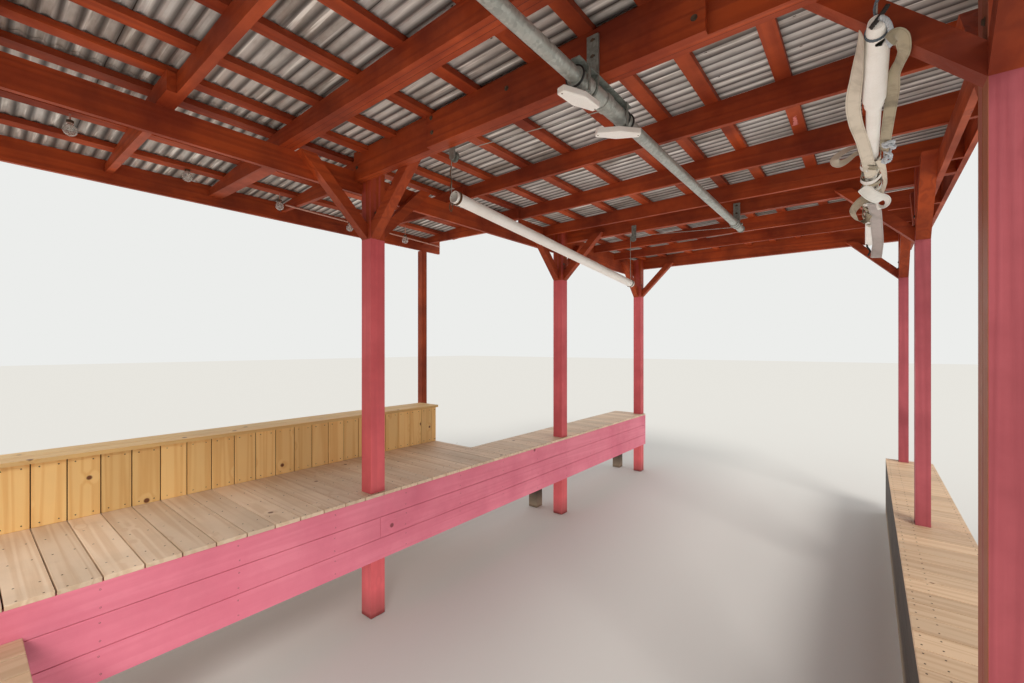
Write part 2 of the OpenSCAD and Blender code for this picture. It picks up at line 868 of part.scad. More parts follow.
module sling_bundle() {
    color([0.85, 0.83, 0.76]) {
        along(lake_near, lake_far) translate([0, 0, sling_from]) difference() {
            cylinder(h = sling_l, r = sling_in + sling_t);
            translate([0, 0, -1]) cylinder(h = sling_l + 2, r = sling_in);
        }
        strap(lake_x - spreader_r - strap_off - strap_t);
        strap(lake_x + spreader_r + strap_off);
    }
}

module strap(x) {
    y0 = lake_near[1] + strap_end;
    y1 = lake_near[1] + sling_from + strap_end;
    z0 = lake_near[2];
    z1 = axis_z(lake_near, lake_far, y1);
    mid = (z0 + z1) / 2 - strap_sag;
    sideways(x, strap_t) polygon([
        [y0, z0 - sling_w / 2], [(y0 + y1) / 2, mid - sling_w / 2], [y1, z1 - sling_w / 2],
        [y1, z1 + sling_w / 2], [(y0 + y1) / 2, mid + sling_w / 2], [y0, z0 + sling_w / 2]
    ]);
}

// Lamps under the hoist: place along the slip, drop of their tops and turn from the pipe
lamp_t = 35;
lamp_end = 0.5;
lamp_places = [[row_a - 300, 77.5, 14], [row_a + 160, 82.5, 51]];

module lamps() {
    color("white") for (l = lamp_places)
        translate([hoist_x, l[0], pipe_z - l[1] - lamp_t]) rotate([0, 0, -l[2]]) linear_extrude(lamp_t) polygon([
            for (p = [[-lamp_end, -1], [lamp_end, -1], [1, 0], [lamp_end, 1], [-lamp_end, 1], [-1, 0]])
                [p[0] * lamp_w / 2, p[1] * lamp_l / 2]
        ]);
}

// Globe bulbs under the lean-to's purlins: which purlin each is on, and its drop
bulb_from = row_0 + 1214;
bulb_places = [[1, 111], [2, 66], [2, 128], [2, 183], [2, 180]];
bulb_r = bulb_d / 2;
bulb_neck = bulb_r + 6;
neck_r = 14;
socket_r = 19;
socket_h = 18;
stem_r = 5;
under_fit = 1;
function bulb_top(i) = let (x = lean_purlin_x[bulb_places[i][0]] + purlin_w / 2)
    [x, bulb_from + i * bulb_pitch, roof_z(x)];

module light_bulbs() {
    color("white") for (i = [0:4]) translate(bulb_top(i) - [0, 0, bulb_places[i][1]]) {
        sphere(bulb_r);
        cylinder(h = bulb_neck, r = neck_r);
    }
}

// The bulbs' sockets and stems, and a taut cable under the rafters past the third bulb
cable_from = [0.24, 1.18];
cable_to = [0.09, 4.1];
function rafter_under(x) = beam_top - rafter_heel
    + (left_beam_x - x) / (left_beam_x - eave_x) * (roof_z(eave_x) - rafter_tip - beam_top + rafter_heel);
function under_at(p) = let (x = eave_x + p[0] * (left_beam_x - eave_x))
    [x, row_a - post_w / 2 + (p[1] - 1.35) * bulb_pitch, rafter_under(x) - under_fit - conduit_d / 2];

module conduit() {
    color(steel) {
        for (i = [0:4]) translate(bulb_top(i) - [0, 0, bulb_places[i][1] - bulb_neck]) {
            cylinder(h = socket_h, r = socket_r);
            cylinder(h = bulb_places[i][1] - bulb_neck - under_fit, r = stem_r);
        }
        rod(under_at(cable_from), under_at(cable_to), conduit_d);
    }
}

left_posts();
right_posts();
eave_posts();
left_beam();
right_beam();
eave_beam();
end_girders();
hoist_girder();
girder_stiffener();
middle_girder();
near_joists();
middle_joists();
far_joists();
lean_to_rafters();
slip_purlins();
lean_to_purlins();
lake_rim();
slip_roof();
lean_to_roof();
beam_braces();
girder_braces();
deck_boards();
deck_joists();
dock_bearers();
dock_piles();
fascia_boards();
kneewall_boards();
kneewall_plates();
kneewall_studs();
wall_cap();
walkway_boards();
walkway_joists();
walkway_skirt();
cross_walk_boards();
cross_walk_joists();
hoist_pipe();
cable_drum();
pipe_hangers();
sheave_brackets();
hoist_cables();
spreader_tube();
sling_bundle();
lamps();
light_bulbs();
conduit();
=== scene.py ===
# %% [markdown]
# A timber boathouse, seen from the walkway at the closed end of its slip.
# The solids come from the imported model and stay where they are. This script gives them
# their finishes, and adds what is too fine for the solids: separate boards with eased
# edges, bolt and screw heads, cable turns, lamps, bulbs and the knotted lifting sling.

# %% Frame and solids
import math
import random

import bpy
from mathutils import Matrix, Vector


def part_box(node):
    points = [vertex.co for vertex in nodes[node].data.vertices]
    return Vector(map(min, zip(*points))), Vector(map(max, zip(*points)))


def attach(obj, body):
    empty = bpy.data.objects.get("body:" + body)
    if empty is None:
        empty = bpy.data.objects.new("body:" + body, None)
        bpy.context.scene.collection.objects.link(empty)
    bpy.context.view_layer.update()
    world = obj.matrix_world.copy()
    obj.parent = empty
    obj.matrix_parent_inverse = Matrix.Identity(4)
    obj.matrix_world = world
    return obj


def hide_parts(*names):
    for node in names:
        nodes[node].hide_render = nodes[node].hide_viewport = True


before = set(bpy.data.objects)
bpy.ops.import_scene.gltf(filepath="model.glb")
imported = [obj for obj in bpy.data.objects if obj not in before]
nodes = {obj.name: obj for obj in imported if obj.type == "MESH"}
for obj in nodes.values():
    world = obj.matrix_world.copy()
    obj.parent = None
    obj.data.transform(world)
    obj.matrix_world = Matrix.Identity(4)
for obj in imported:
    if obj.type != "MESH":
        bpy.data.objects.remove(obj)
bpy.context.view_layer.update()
chance = random.Random(7)

# %% [markdown]
# The camera stands on the walkway across the slip's end, a little left of the lake-side
# posts, and looks along the slip and towards the shore. It could be placed by eye, but the
# vanishing points of the roof beams and posts give its turn and tilt, so both are typed in.

# %% Camera
bpy.ops.object.camera_add(location=(2.209, -3.720, 2.358))
camera = bpy.context.object
camera.rotation_euler = (math.radians(90), 0, math.radians(38.63))
camera.data.shift_y = 0.0049
camera.data.lens = 15.68
camera.data.sensor_width = 36
camera.data.clip_start = 0.05
camera.data.clip_end = 300
bpy.context.scene.camera = camera
bpy.context.scene.view_settings.view_transform = "Standard"
print("camera lens:", camera.data.lens, "mm")

# %% [markdown]
# Materials are built from shader nodes. A few short functions add a node and feed it with
# numbers or with the results of other nodes, so that a finish reads as a few lines.


# %% Nodes and colours
def fill(tree, node, feeds):
    """Gives a node's inputs their values, or links them to sockets or to nodes' first results."""
    for label, feed in feeds.items():
        if isinstance(feed, bpy.types.Node):
            feed = feed.outputs[0]
        if isinstance(feed, bpy.types.NodeSocket):
            tree.links.new(feed, node.inputs[label])
        else:
            node.inputs[label].default_value = feed
    return node


def add(tree, kind, feeds=None, **options):
    """Adds a shader node with its options and what goes into it."""
    node = tree.nodes.new("ShaderNode" + kind)
    for option, value in options.items():
        setattr(node, option, value)
    return fill(tree, node, feeds or {})


def calc(tree, operation, *values):
    return add(tree, "Math", dict(enumerate(values)), operation=operation)


def colour(red, green, blue):
    """A colour as a screen shows it, 0 to 255, turned into the linear one shaders use."""
    def linear(value):
        value /= 255
        return value / 12.92 if value <= 0.04045 else ((value + 0.055) / 1.055) ** 2.4
    return (linear(red), linear(green), linear(blue), 1.0)


def shader(name):
    """A new material with a Principled BSDF, and its node tree."""
    material = bpy.data.materials.new(name)
    material.use_nodes = True
    return material, material.node_tree, material.node_tree.nodes["Principled BSDF"]


print("mid grey on a screen is", round(colour(128, 128, 128)[0], 3), "of full light")


# %% [markdown]
# A studio for a roof that shades itself: a pale floor at the waterline, an even sky and a
# wide soft sun. Water throws light up on the rafters of a real boathouse. A pale floor
# does so only weakly, so a wide lamp on the floor, which the camera does not see, helps.

# %% Sky, floor and lamps
WARM = (1.0, 0.96, 0.90)
world = bpy.data.worlds.new("pale sky")
bpy.context.scene.world = world
world.use_nodes = True
sky = world.node_tree
light_sky = fill(sky, sky.nodes["Background"], {"Color": (1.0, 0.985, 0.96, 1), "Strength": 0.85})
seen_sky = add(sky, "Background", {"Color": colour(236, 237, 235), "Strength": 1.0})
ray = add(sky, "LightPath")
seen = calc(sky, "MAXIMUM", ray.outputs["Is Camera Ray"], ray.outputs["Is Transmission Ray"])
fill(sky, sky.nodes["World Output"], {"Surface": add(sky, "MixShader", {0: seen, 1: light_sky, 2: seen_sky})})

bpy.ops.mesh.primitive_plane_add(size=160, location=(0, 0, -0.004))
floor = bpy.context.object
floor.name = "studio_floor"
floor_material, tree, face = shader("studio floor")
fill(tree, face, {"Base Color": colour(214, 214, 211), "Roughness": 1.0, "Specular IOR Level": 0.0})
floor.data.materials.append(floor_material)

bpy.ops.object.light_add(type="SUN", location=(6, -8, 9), rotation=(math.radians(50), 0, math.radians(48)))
sun = bpy.context.object
sun.name = "soft_sun"
sun.data.energy = 1.7
sun.data.angle = math.radians(22)
sun.data.color = WARM
bpy.ops.object.light_add(type="AREA", location=(0.2, 0, 0.02), rotation=(math.pi, 0, 0))
glow = bpy.context.object
glow.name = "water_glow"
glow.data.shape = "RECTANGLE"
glow.data.size = 8
glow.data.size_y = 13
glow.data.energy = 190
glow.data.color = WARM
glow.visible_camera = False
glow.visible_glossy = False
print("floor, sun and glow are in place")

# %% [markdown]
# Sawn timber shows long straight lines, which part round a few knots. A picture of wood
# would repeat and could not follow the boards, so the lines are contours of a noise that
# is stretched along the board. A number for each board moves the pattern.


# %% Groups of nodes
SOCKETS = {1: "NodeSocketFloat", 3: "NodeSocketVector", 4: "NodeSocketColor"}


def new_group(name, inputs, outputs, size=1):
    """A node group: its tree, what it takes and its last node. Size is how many values a result has."""
    group = bpy.data.node_groups.new(name, "ShaderNodeTree")
    for label, value in inputs.items():
        kind = SOCKETS[len(value) if isinstance(value, tuple) else 1]
        group.interface.new_socket(label, in_out="INPUT", socket_type=kind).default_value = value
    for label in outputs:
        group.interface.new_socket(label, in_out="OUTPUT", socket_type=SOCKETS[size])
    print("group:", name)
    return group, group.nodes.new("NodeGroupInput").outputs, group.nodes.new("NodeGroupOutput")


def use(tree, group, feeds=None):
    """Places a node group in a material, with its own values."""
    node = tree.nodes.new("ShaderNodeGroup")
    node.node_tree = group
    return fill(tree, node, feeds or {}).outputs


print("a group takes numbers, places and colours")


# %% Short ways to common nodes
def vector(tree, operation, *values):
    return add(tree, "VectorMath", dict(enumerate(values)), operation=operation)


def blend(tree, share, first, second):
    """The first colour with a share of the second."""
    return add(tree, "MixRGB", {"Fac": share, "Color1": first, "Color2": second})


def remap(tree, value, source=(0.0, 1.0), to=(0.0, 1.0)):
    """A value moved from one range to another and kept inside it."""
    return add(tree, "MapRange", {"Value": value, "From Min": source[0], "From Max": source[1],
                                  "To Min": to[0], "To Max": to[1]})


def noise(tree, spot, scale, detail, roughness=0.5, distortion=0.0):
    return add(tree, "TexNoise", {"Vector": spot, "Scale": scale, "Detail": detail,
                                  "Roughness": roughness, "Distortion": distortion})


def place_of(tree):
    """The place of a point in the boathouse's own frame."""
    return add(tree, "TexCoord").outputs["Object"]


print("colours blend, values are remapped, and noise scatters them")

# %% Timber grain
grain, taken, given = new_group(
    "timber grain", {"Stretch": (1, 1, 1), "Board": 0.0, "Rings": 5.0, "Knots": 0.2},
    ("Grain", "Knot", "Height"))
jump = add(grain, "VectorMath", {0: (3.1, 7.3, 5.9), "Scale": taken["Board"]}, operation="SCALE")
moved = vector(grain, "ADD", place_of(grain), jump)
long = vector(grain, "MULTIPLY", moved, taken["Stretch"])
cells = add(grain, "TexVoronoi", {"Vector": moved, "Scale": 4.5})
chosen = add(grain, "SeparateColor", {0: cells.outputs["Color"]})
kept = calc(grain, "LESS_THAN", chosen, taken["Knots"])
knot = calc(grain, "MULTIPLY", remap(grain, cells.outputs["Distance"], (0.10, 0.07)), kept)
bend = calc(grain, "MULTIPLY", remap(grain, cells.outputs["Distance"], (0.3, 0.05)), kept)
phase = calc(grain, "MULTIPLY", noise(grain, long, 1.0, 1.0, 0.4, 0.1), taken["Rings"])
curved = calc(grain, "MULTIPLY_ADD", bend, 0.9, phase)
wave = calc(grain, "SINE", calc(grain, "MULTIPLY", curved, 2 * math.pi))
fibre = noise(grain, long, 9.0, 5.0, 0.7)
both = add(grain, "Mix", {0: 0.5, 2: remap(grain, wave, (-1.0, 1.0)), 3: fibre})
raised = calc(grain, "MULTIPLY_ADD", knot, 0.6, both)
fill(grain, given, {"Grain": both, "Knot": knot, "Height": raised})

# %% [markdown]
# Everything here has stood over water for years: faint dirt gathers in soft patches, and
# it is darker towards the waterline. One group gives both as a mask, for every finish.

# %% Weather dirt
dirt, taken, given = new_group(
    "weather dirt", {"Patch size": 1.6, "Patches": 0.4, "Wet height": 0.25, "Wet": 0.6}, ("Dirt",))
spot = place_of(dirt)
patch = remap(dirt, noise(dirt, spot, taken["Patch size"], 6.0, 0.6), (0.45, 0.75), (0.0, taken["Patches"]))
height = add(dirt, "SeparateXYZ", {0: spot})
low = remap(dirt, height.outputs["Z"], (taken["Wet height"], 0.0), (0.0, taken["Wet"]))
fill(dirt, given, {"Dirt": calc(dirt, "MAXIMUM", patch, low)})

# %% [markdown]
# The posts were repainted up to the braces in a pinker red than the old roof framing, so
# their finish changes at a brushed line. A ragged height threshold does that without
# cutting the posts in two.

# %% Paint line
paint_line, taken, given = new_group(
    "brushed paint line", {"Above": (1, 0, 0, 1), "Below": (1, 0.3, 0.3, 1), "Height": 3.3, "Ragged": 0.012},
    ("Colour",), 4)
spot = place_of(paint_line)
up = add(paint_line, "SeparateXYZ", {0: spot})
swing = calc(paint_line, "SUBTRACT", noise(paint_line, spot, 30.0, 3.0), 0.5)
edge = calc(paint_line, "MULTIPLY_ADD", swing, taken["Ragged"], taken["Height"])
under = calc(paint_line, "LESS_THAN", up.outputs["Z"], edge)
fill(paint_line, given, {"Colour": blend(paint_line, under, taken["Above"], taken["Below"])})

# %% [markdown]
# A small patch of another paint lies inside a box with ragged edges. The newer red went
# over one purlin's side, and the doubled post's slip side was left in the old brown. The
# dark joint between a girder's two planks is such a box too, only very thin.

# %% Box of paint
painted_box, taken, given = new_group(
    "box of paint", {"Middle": (0, 0, 0), "Half size": (1, 1, 1), "Ragged": 0.0}, ("Inside",))
spot = place_of(painted_box)
apart = vector(painted_box, "ABSOLUTE", vector(painted_box, "SUBTRACT", spot, taken["Middle"]))
rough_edge = calc(painted_box, "MULTIPLY", noise(painted_box, spot, 14.0, 4.0), taken["Ragged"])
sides = add(painted_box, "SeparateXYZ", {0: vector(painted_box, "SUBTRACT", apart, taken["Half size"])})
worst = calc(painted_box, "MAXIMUM", sides.outputs[0], sides.outputs[1])
worst = calc(painted_box, "MAXIMUM", worst, sides.outputs[2])
inside = calc(painted_box, "LESS_THAN", calc(painted_box, "ADD", worst, rough_edge), 0.0)
fill(painted_box, given, {"Inside": inside})

# %% [markdown]
# Two reds: the roof framing's old orange-brown, and the newer pinkish red below. Brushed
# paint on rough timber keeps the grain as shallow lines, so the grain group feeds the bump
# and only a little of the colour. Beams lie three ways, so the stretch is chosen for each.

# %% Reds
ALONG_X = (0.35, 12.0, 12.0)
ALONG_Y = (12.0, 0.35, 12.0)
ALONG_Z = (12.0, 12.0, 0.35)
OLD_REDS = (colour(184, 80, 38), colour(124, 46, 26))
POST_REDS = (colour(228, 106, 112), colour(204, 90, 96))
# The lake-side posts' red is the shore posts' pink red, darkened as painted shade.
SHADE_REDS = (colour(180, 90, 98), colour(152, 72, 80))
FASCIA_REDS = (colour(238, 138, 158), colour(224, 120, 142))
KNOT_RED = colour(88, 32, 22)
GRIME = colour(78, 48, 36)
BARE_BROWN = colour(150, 86, 58)
JOINT_DARK = colour(42, 20, 14)
print("post red as light:", [round(value, 3) for value in POST_REDS[0][:3]])

# %% Painted timber
JOINT_HALF = 0.0012
FREE = 30.0


def bumps(tree, height, strength, distance):
    return add(tree, "Bump", {"Height": height, "Strength": strength, "Distance": distance})


def painted_timber(name, along, reds, line=None, patches=0.35, boxes=(), knots=0.12):
    """Painted timber, fresh and worn; line is a second red's height, boxes hold other paints."""
    material, tree, face = shader(name)
    wood = use(tree, grain, {"Stretch": along, "Rings": 4.0, "Knots": knots})
    wear = remap(tree, noise(tree, place_of(tree), 1.7, 5.0, 0.6), (0.38, 0.68))
    base = blend(tree, wear, *reds)
    if line is not None:
        feeds = {"Above": blend(tree, wear, *OLD_REDS), "Below": base, "Height": line}
        base = use(tree, paint_line, feeds)["Colour"]
    for middle, half, ragged, tint in boxes:
        mark = use(tree, painted_box, {"Middle": middle, "Half size": half, "Ragged": ragged})
        base = blend(tree, mark["Inside"], base, tint)
    lined = blend(tree, remap(tree, wood["Grain"], (0.35, 0.8), (0.0, 0.45)), base, reds[1])
    spotted = blend(tree, calc(tree, "MULTIPLY", wood["Knot"], 0.7), lined, KNOT_RED)
    soil = use(tree, dirt, {"Patches": patches})
    fill(tree, face, {"Base Color": blend(tree, soil["Dirt"], spotted, GRIME),
                      "Roughness": remap(tree, wear, to=(0.5, 0.7)), "Specular IOR Level": 0.22,
                      "Normal": bumps(tree, wood["Height"], 0.45, 0.004)})
    return material


def dress(material, *names):
    """Gives CAD nodes a material."""
    for name in names:
        nodes[name].data.materials.clear()
        nodes[name].data.materials.append(material)


def plank_joint(y):
    """The dark joint between two planks that lie side by side at this place along the slip."""
    return ((0, y, 0), (FREE, JOINT_HALF, FREE), 0.0, JOINT_DARK)


print("a plank joint is", 2 * JOINT_HALF, "m wide")

# %% Painted nodes
POST_ROWS = (-4.440, -1.400, 1.670, 4.440)
POST_HALF = 0.070
PLY = 0.038
shore_low, shore_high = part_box("left_posts")
lake_low, lake_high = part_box("right_posts")
PAIR_WIDE = 0.176
beyond = (-1, -1, 1, 1)
girder_joints = [plank_joint(row + side * (POST_HALF + PLY)) for row, side in zip(POST_ROWS, beyond)]
TRIPLE_SHARE = 0.763
triple_joist_y = POST_ROWS[0] + TRIPLE_SHARE * (POST_ROWS[1] - POST_ROWS[0])
triple_joints = [plank_joint(triple_joist_y + side * PLY / 2) for side in (-1, 1)]
slip_side = ((lake_low.x, POST_ROWS[1], 2.0), (0.002, 0.112, FREE), 0.0, BARE_BROWN)
overspray = ((1.775, 0.25, 4.0), (0.06, 0.12, 0.3), 0.1, colour(232, 140, 136))

dress(painted_timber("old red, along the slip", ALONG_Y, OLD_REDS),
      "left_beam", "right_beam", "eave_beam", "lean_to_purlins", "lake_rim", "beam_braces")
dress(painted_timber("old red, slip purlins", ALONG_Y, OLD_REDS, boxes=[overspray]), "slip_purlins")
dress(painted_timber("old red, across the slip", ALONG_X, OLD_REDS),
      "girder_stiffener", "middle_joists", "far_joists", "lean_to_rafters", "girder_braces")
dress(painted_timber("old red, girders", ALONG_X, OLD_REDS, boxes=girder_joints),
      "end_girders", "hoist_girder", "middle_girder")
dress(painted_timber("old red, near joists", ALONG_X, OLD_REDS, boxes=triple_joints), "near_joists")
dress(painted_timber("old red, upright", ALONG_Z, OLD_REDS), "eave_posts")
dress(painted_timber("shore post reds", ALONG_Z, POST_REDS, 3.293, 0.15), "left_posts")
dress(painted_timber("lake post reds", ALONG_Z, SHADE_REDS, 3.345, 0.15, [slip_side]), "right_posts")
fascia_red = painted_timber("new red, fascia", ALONG_Y, FASCIA_REDS, patches=0.1, knots=0.02)
print("painted nodes are dressed")

# %% [markdown]
# The deck, the low wall and the walkways are sealed yellow pine: honey coloured, with
# orange-brown lines and brown knots. The walked-on boards have greyed a little more. The
# old frame under the decks is dark with wet and algae, and painted darker still as shade.

# %% Bare timber
PINE_KNOT = colour(110, 62, 30)
PINE_GREY = colour(168, 148, 122)
WALL_PINE = (colour(250, 210, 140), colour(228, 170, 92), PINE_KNOT)
DECK_PINE = (colour(234, 210, 182), colour(204, 168, 130), PINE_KNOT)
WALK_PINE = (colour(214, 184, 150), colour(180, 142, 104), PINE_KNOT)
DARK_RING = colour(30, 26, 22)
# Under the decks the timber is dark with wet, and darker still with painted shade.
WET_SHADED_WOOD = (colour(58, 48, 40), DARK_RING, DARK_RING)


def bare_timber(name, along, tints, weather=0.3, rough=0.55, follows_boards=True, knots=0.6):
    """Timber in tints for pale, ring and knot. Each board's number shifts its lines and shade."""
    pale, ring, knot_tint = tints
    material, tree, face = shader(name)
    number = add(tree, "Attribute", attribute_name="board").outputs["Fac"] if follows_boards else 0.0
    wood = use(tree, grain, {"Stretch": along, "Board": number, "Rings": 4.0, "Knots": knots})
    ringed = blend(tree, remap(tree, wood["Grain"], (0.4, 0.9), (0.0, 0.6)), pale, ring)
    tinted = add(tree, "HueSaturation", {"Value": remap(tree, number, to=(0.84, 1.08)), "Color": ringed})
    knotted = blend(tree, wood["Knot"], tinted, knot_tint)
    soil = use(tree, dirt, {"Patch size": 2.4, "Patches": weather})
    fill(tree, face, {"Base Color": blend(tree, soil["Dirt"], knotted, PINE_GREY), "Roughness": rough,
                      "Normal": bumps(tree, wood["Height"], 0.35, 0.003)})
    return material


print("pine on a wall:", [round(value, 3) for value in WALL_PINE[0][:3]])

# %% Bare nodes
deck_pine = bare_timber("sealed pine, deck", ALONG_X, DECK_PINE)
walk_pine = bare_timber("sealed pine, walkway", ALONG_X, WALK_PINE, 0.15)
cross_pine = bare_timber("sealed pine, along the slip", ALONG_Y, WALK_PINE)
wall_pine = bare_timber("sealed pine, wall", ALONG_Z, WALL_PINE, 0.08, knots=0.9)
wet_shaded_along = bare_timber("wet timber with painted shade, along", ALONG_Y, WET_SHADED_WOOD, 0.1, 0.7, False)
dress(bare_timber("sealed pine, wall cap", ALONG_Y, WALL_PINE, follows_boards=False),
      "wall_cap", "kneewall_plates", "kneewall_studs")
dress(wet_shaded_along, "deck_joists", "walkway_joists", "walkway_skirt")
dress(bare_timber("wet timber with painted shade, across", ALONG_X, WET_SHADED_WOOD, 0.1, 0.7, False),
      "dock_bearers", "cross_walk_joists", "dock_piles")
print("bare timber nodes are dressed")

# %% [markdown]
# Deck boards are planed with eased edges, so each catches a thin line of light along its
# gap. A board is a block whose edges are bevelled. Each has a number of its own, sits a
# fraction of a millimetre high or low, and all are joined into one deck.


# %% Blocks, edges and joints
def pick(*things):
    """Selects only these objects; the first one is active."""
    bpy.ops.object.select_all(action="DESELECT")
    for thing in things:
        thing.select_set(True)
    bpy.context.view_layer.objects.active = things[0]


def settle(name):
    """Names the object that was just added, and moves its place and size into its mesh."""
    piece = bpy.context.object
    piece.name = name
    pick(piece)
    bpy.ops.object.transform_apply(location=True, rotation=True, scale=True)
    return piece


def add_block(name, low, high):
    """A box between two corners, ready to be shaped."""
    low, high = Vector(low), Vector(high)
    bpy.ops.mesh.primitive_cube_add(size=1, location=(low + high) / 2, scale=high - low)
    return settle(name)


def ease(piece, width, segments=2):
    """Bevels all edges of a piece."""
    pick(piece)
    bpy.ops.object.mode_set(mode="EDIT")
    bpy.ops.mesh.select_all(action="SELECT")
    bpy.ops.mesh.bevel(offset=width, segments=segments, affect="EDGES")
    bpy.ops.object.mode_set(mode="OBJECT")
    return piece


def join(name, pieces):
    """Joins pieces into one, which takes the name."""
    pick(*pieces)
    bpy.ops.object.join()
    whole = bpy.context.object
    whole.name = name
    whole.data.name = name
    return whole


def carry(piece, material, body, slot, *replaced):
    """Gives a piece its material and its body; its slot is not used. It stands for the nodes named, if any.
    """
    piece.data.materials.clear()
    piece.data.materials.append(material)
    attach(piece, body)
    if replaced:
        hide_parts(*replaced)
    return piece


print("blocks can be made, eased, joined and carried")

# %% Rows of boards
BOARD_PITCH = 0.184
BOARD_GAP = 0.007
BOARD_T = 0.028
EASE = 0.003
LEAST_BOARD = 0.02
UNEVEN = 0.0008


def board_rows(first, last):
    """Where each board of a band starts, and its width."""
    start = first
    while start < last - LEAST_BOARD:
        yield start, min(BOARD_PITCH, last - start) - BOARD_GAP
        start += BOARD_PITCH


def number_board(board):
    """Writes a board's own number on its points, for the material."""
    value = chance.random()
    mark = board.data.attributes.new("board", "FLOAT", "POINT")
    mark.data.foreach_set("value", [value] * len(board.data.vertices))
    return board


def lay_boards(name, run, band, top, axis="X"):
    """Boards side by side: run is their two ends, band what they cover, axis their direction."""
    boards = []
    for start, wide in board_rows(*band):
        board = ease(add_block(name, (0, 0, -BOARD_T), (run[1] - run[0], wide, 0)), EASE)
        height = top + chance.uniform(-UNEVEN, 0.0)
        if axis == "X":
            move = Matrix.Translation((run[0], start, height))
        else:
            move = Matrix.Translation((start + wide, run[0], height)) @ Matrix.Rotation(math.pi / 2, 4, "Z")
        board.data.transform(move)
        boards.append(number_board(board))
    print(name, "has", len(boards), "boards")
    return join(name, boards)


print("a board is", round(BOARD_PITCH - BOARD_GAP, 3), "m wide")

# %% The deck
DECK_NARROW = 0.610
FIT = 0.003
NOTCH_DEEP = 0.2
FASCIA_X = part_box("fascia_boards")[1].x
wall_low, wall_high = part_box("kneewall_boards")
deck_low, deck_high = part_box("deck_boards")


def reshape(piece, kind, **settings):
    """Adds a modifier to a piece, sets it and applies it."""
    modifier = piece.modifiers.new(kind, kind)
    for setting, value in settings.items():
        setattr(modifier, setting, value)
    pick(piece)
    bpy.ops.object.modifier_apply(modifier=modifier.name)


def cut_with(piece, tool):
    """Cuts a tool's shape out of a piece. The tool goes."""
    reshape(piece, "BOOLEAN", object=tool, solver="EXACT")
    bpy.data.objects.remove(tool)


def notch(piece, low, high, row, bottom, far=POST_HALF):
    """Saws a post's notch into boards. It starts at the bottom and reaches this far past the row."""
    cut_with(piece, add_block("notch", (low.x - FIT, row - POST_HALF - FIT, bottom),
                              (high.x + FIT, row + far + FIT, bottom + NOTCH_DEEP)))


deck = []
for name, back, band in (("wide_deck", deck_low.x, (deck_low.y, wall_high.y)),
                         ("narrow_deck", FASCIA_X - DECK_NARROW, (wall_high.y, deck_high.y))):
    deck.append(lay_boards(name, (back, deck_high.x), band, deck_high.z))
deck = join("deck_planks", deck)
for row in POST_ROWS:
    notch(deck, shore_low, shore_high, row, 1.0)
carry(deck, deck_pine, "frame", "pine_boards", "deck_boards")

# %% The walkways
walk_low, walk_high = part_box("walkway_boards")
walk = lay_boards("walkway_planks", (walk_low.x, walk_high.x), (walk_low.y, walk_high.y), walk_high.z)
for row, far in zip(POST_ROWS[1:], (PAIR_WIDE - POST_HALF, POST_HALF, POST_HALF)):
    notch(walk, lake_low, lake_high, row, 0.7, far)
carry(walk, walk_pine, "frame", "pine_boards", "walkway_boards")
cross_low, cross_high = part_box("cross_walk_boards")
cross = lay_boards("cross_planks", (cross_low.y, cross_high.y), (cross_low.x, cross_high.x), cross_high.z,
                   "Y")
notch(cross, lake_low, lake_high, POST_ROWS[0], 0.8)
carry(cross, cross_pine, "frame", "pine_boards", "cross_walk_boards")

# %% [markdown]
# The low wall's boards stand upright, their joints in line with the deck's gaps. Each
# joint shows a tongue in shade behind it, so a narrow strip closes every gap at the back.
# The strip is coloured dark as painted shade in the gap.

# %% The low wall
TONGUE = 0.005
TONGUE_IN = 0.002
TONGUE_EASE = 0.001
WALL_UNEVEN = 0.001
tongue_x = wall_low.x + TONGUE_IN
uprights = []
tongues = []
for start, wide in board_rows(wall_low.y, wall_high.y):
    corner = (wall_high.x - chance.uniform(0, WALL_UNEVEN), start + wide, wall_high.z)
    board = ease(add_block("wall_board", (wall_low.x, start, wall_low.z), corner), EASE)
    uprights.append(number_board(board))
    strip = add_block("wall_tongue", (tongue_x, start + wide - TONGUE, wall_low.z),
                      (tongue_x + TONGUE, start + wide + BOARD_GAP + TONGUE, wall_high.z))
    tongues.append(ease(strip, TONGUE_EASE, 1))
bpy.data.objects.remove(tongues.pop())
carry(join("wall_planks", uprights), wall_pine, "frame", "pine_boards", "kneewall_boards")
# The tongues take the dark timber as painted shade in the gaps.
carry(join("wall_tongues", tongues), wet_shaded_along, "frame", "weathered_timber", "kneewall_boards")
print("wall boards:", len(uprights))

# %% [markdown]
# Three painted planks face the dock, each in two lengths that meet at a post.
# Their eased edges make the fine dark lines that run along the red face.

# %% The fascia
FASCIA_W = 0.181
END_GAP = 0.001
fascia_low, fascia_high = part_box("fascia_boards")
planks = []
for step, meet in enumerate((POST_ROWS[2], POST_ROWS[1], POST_ROWS[2])):
    top = fascia_high.z - step * BOARD_PITCH
    for y0, y1 in ((fascia_low.y, meet - END_GAP), (meet + END_GAP, fascia_high.y)):
        plank = add_block("plank", (fascia_low.x, y0, top - FASCIA_W), (fascia_high.x, y1, top))
        planks.append(ease(plank, EASE))
carry(join("fascia_planks", planks), fascia_red, "frame", "lower_red_paint", "fascia_boards")
print("fascia planks:", len(planks))
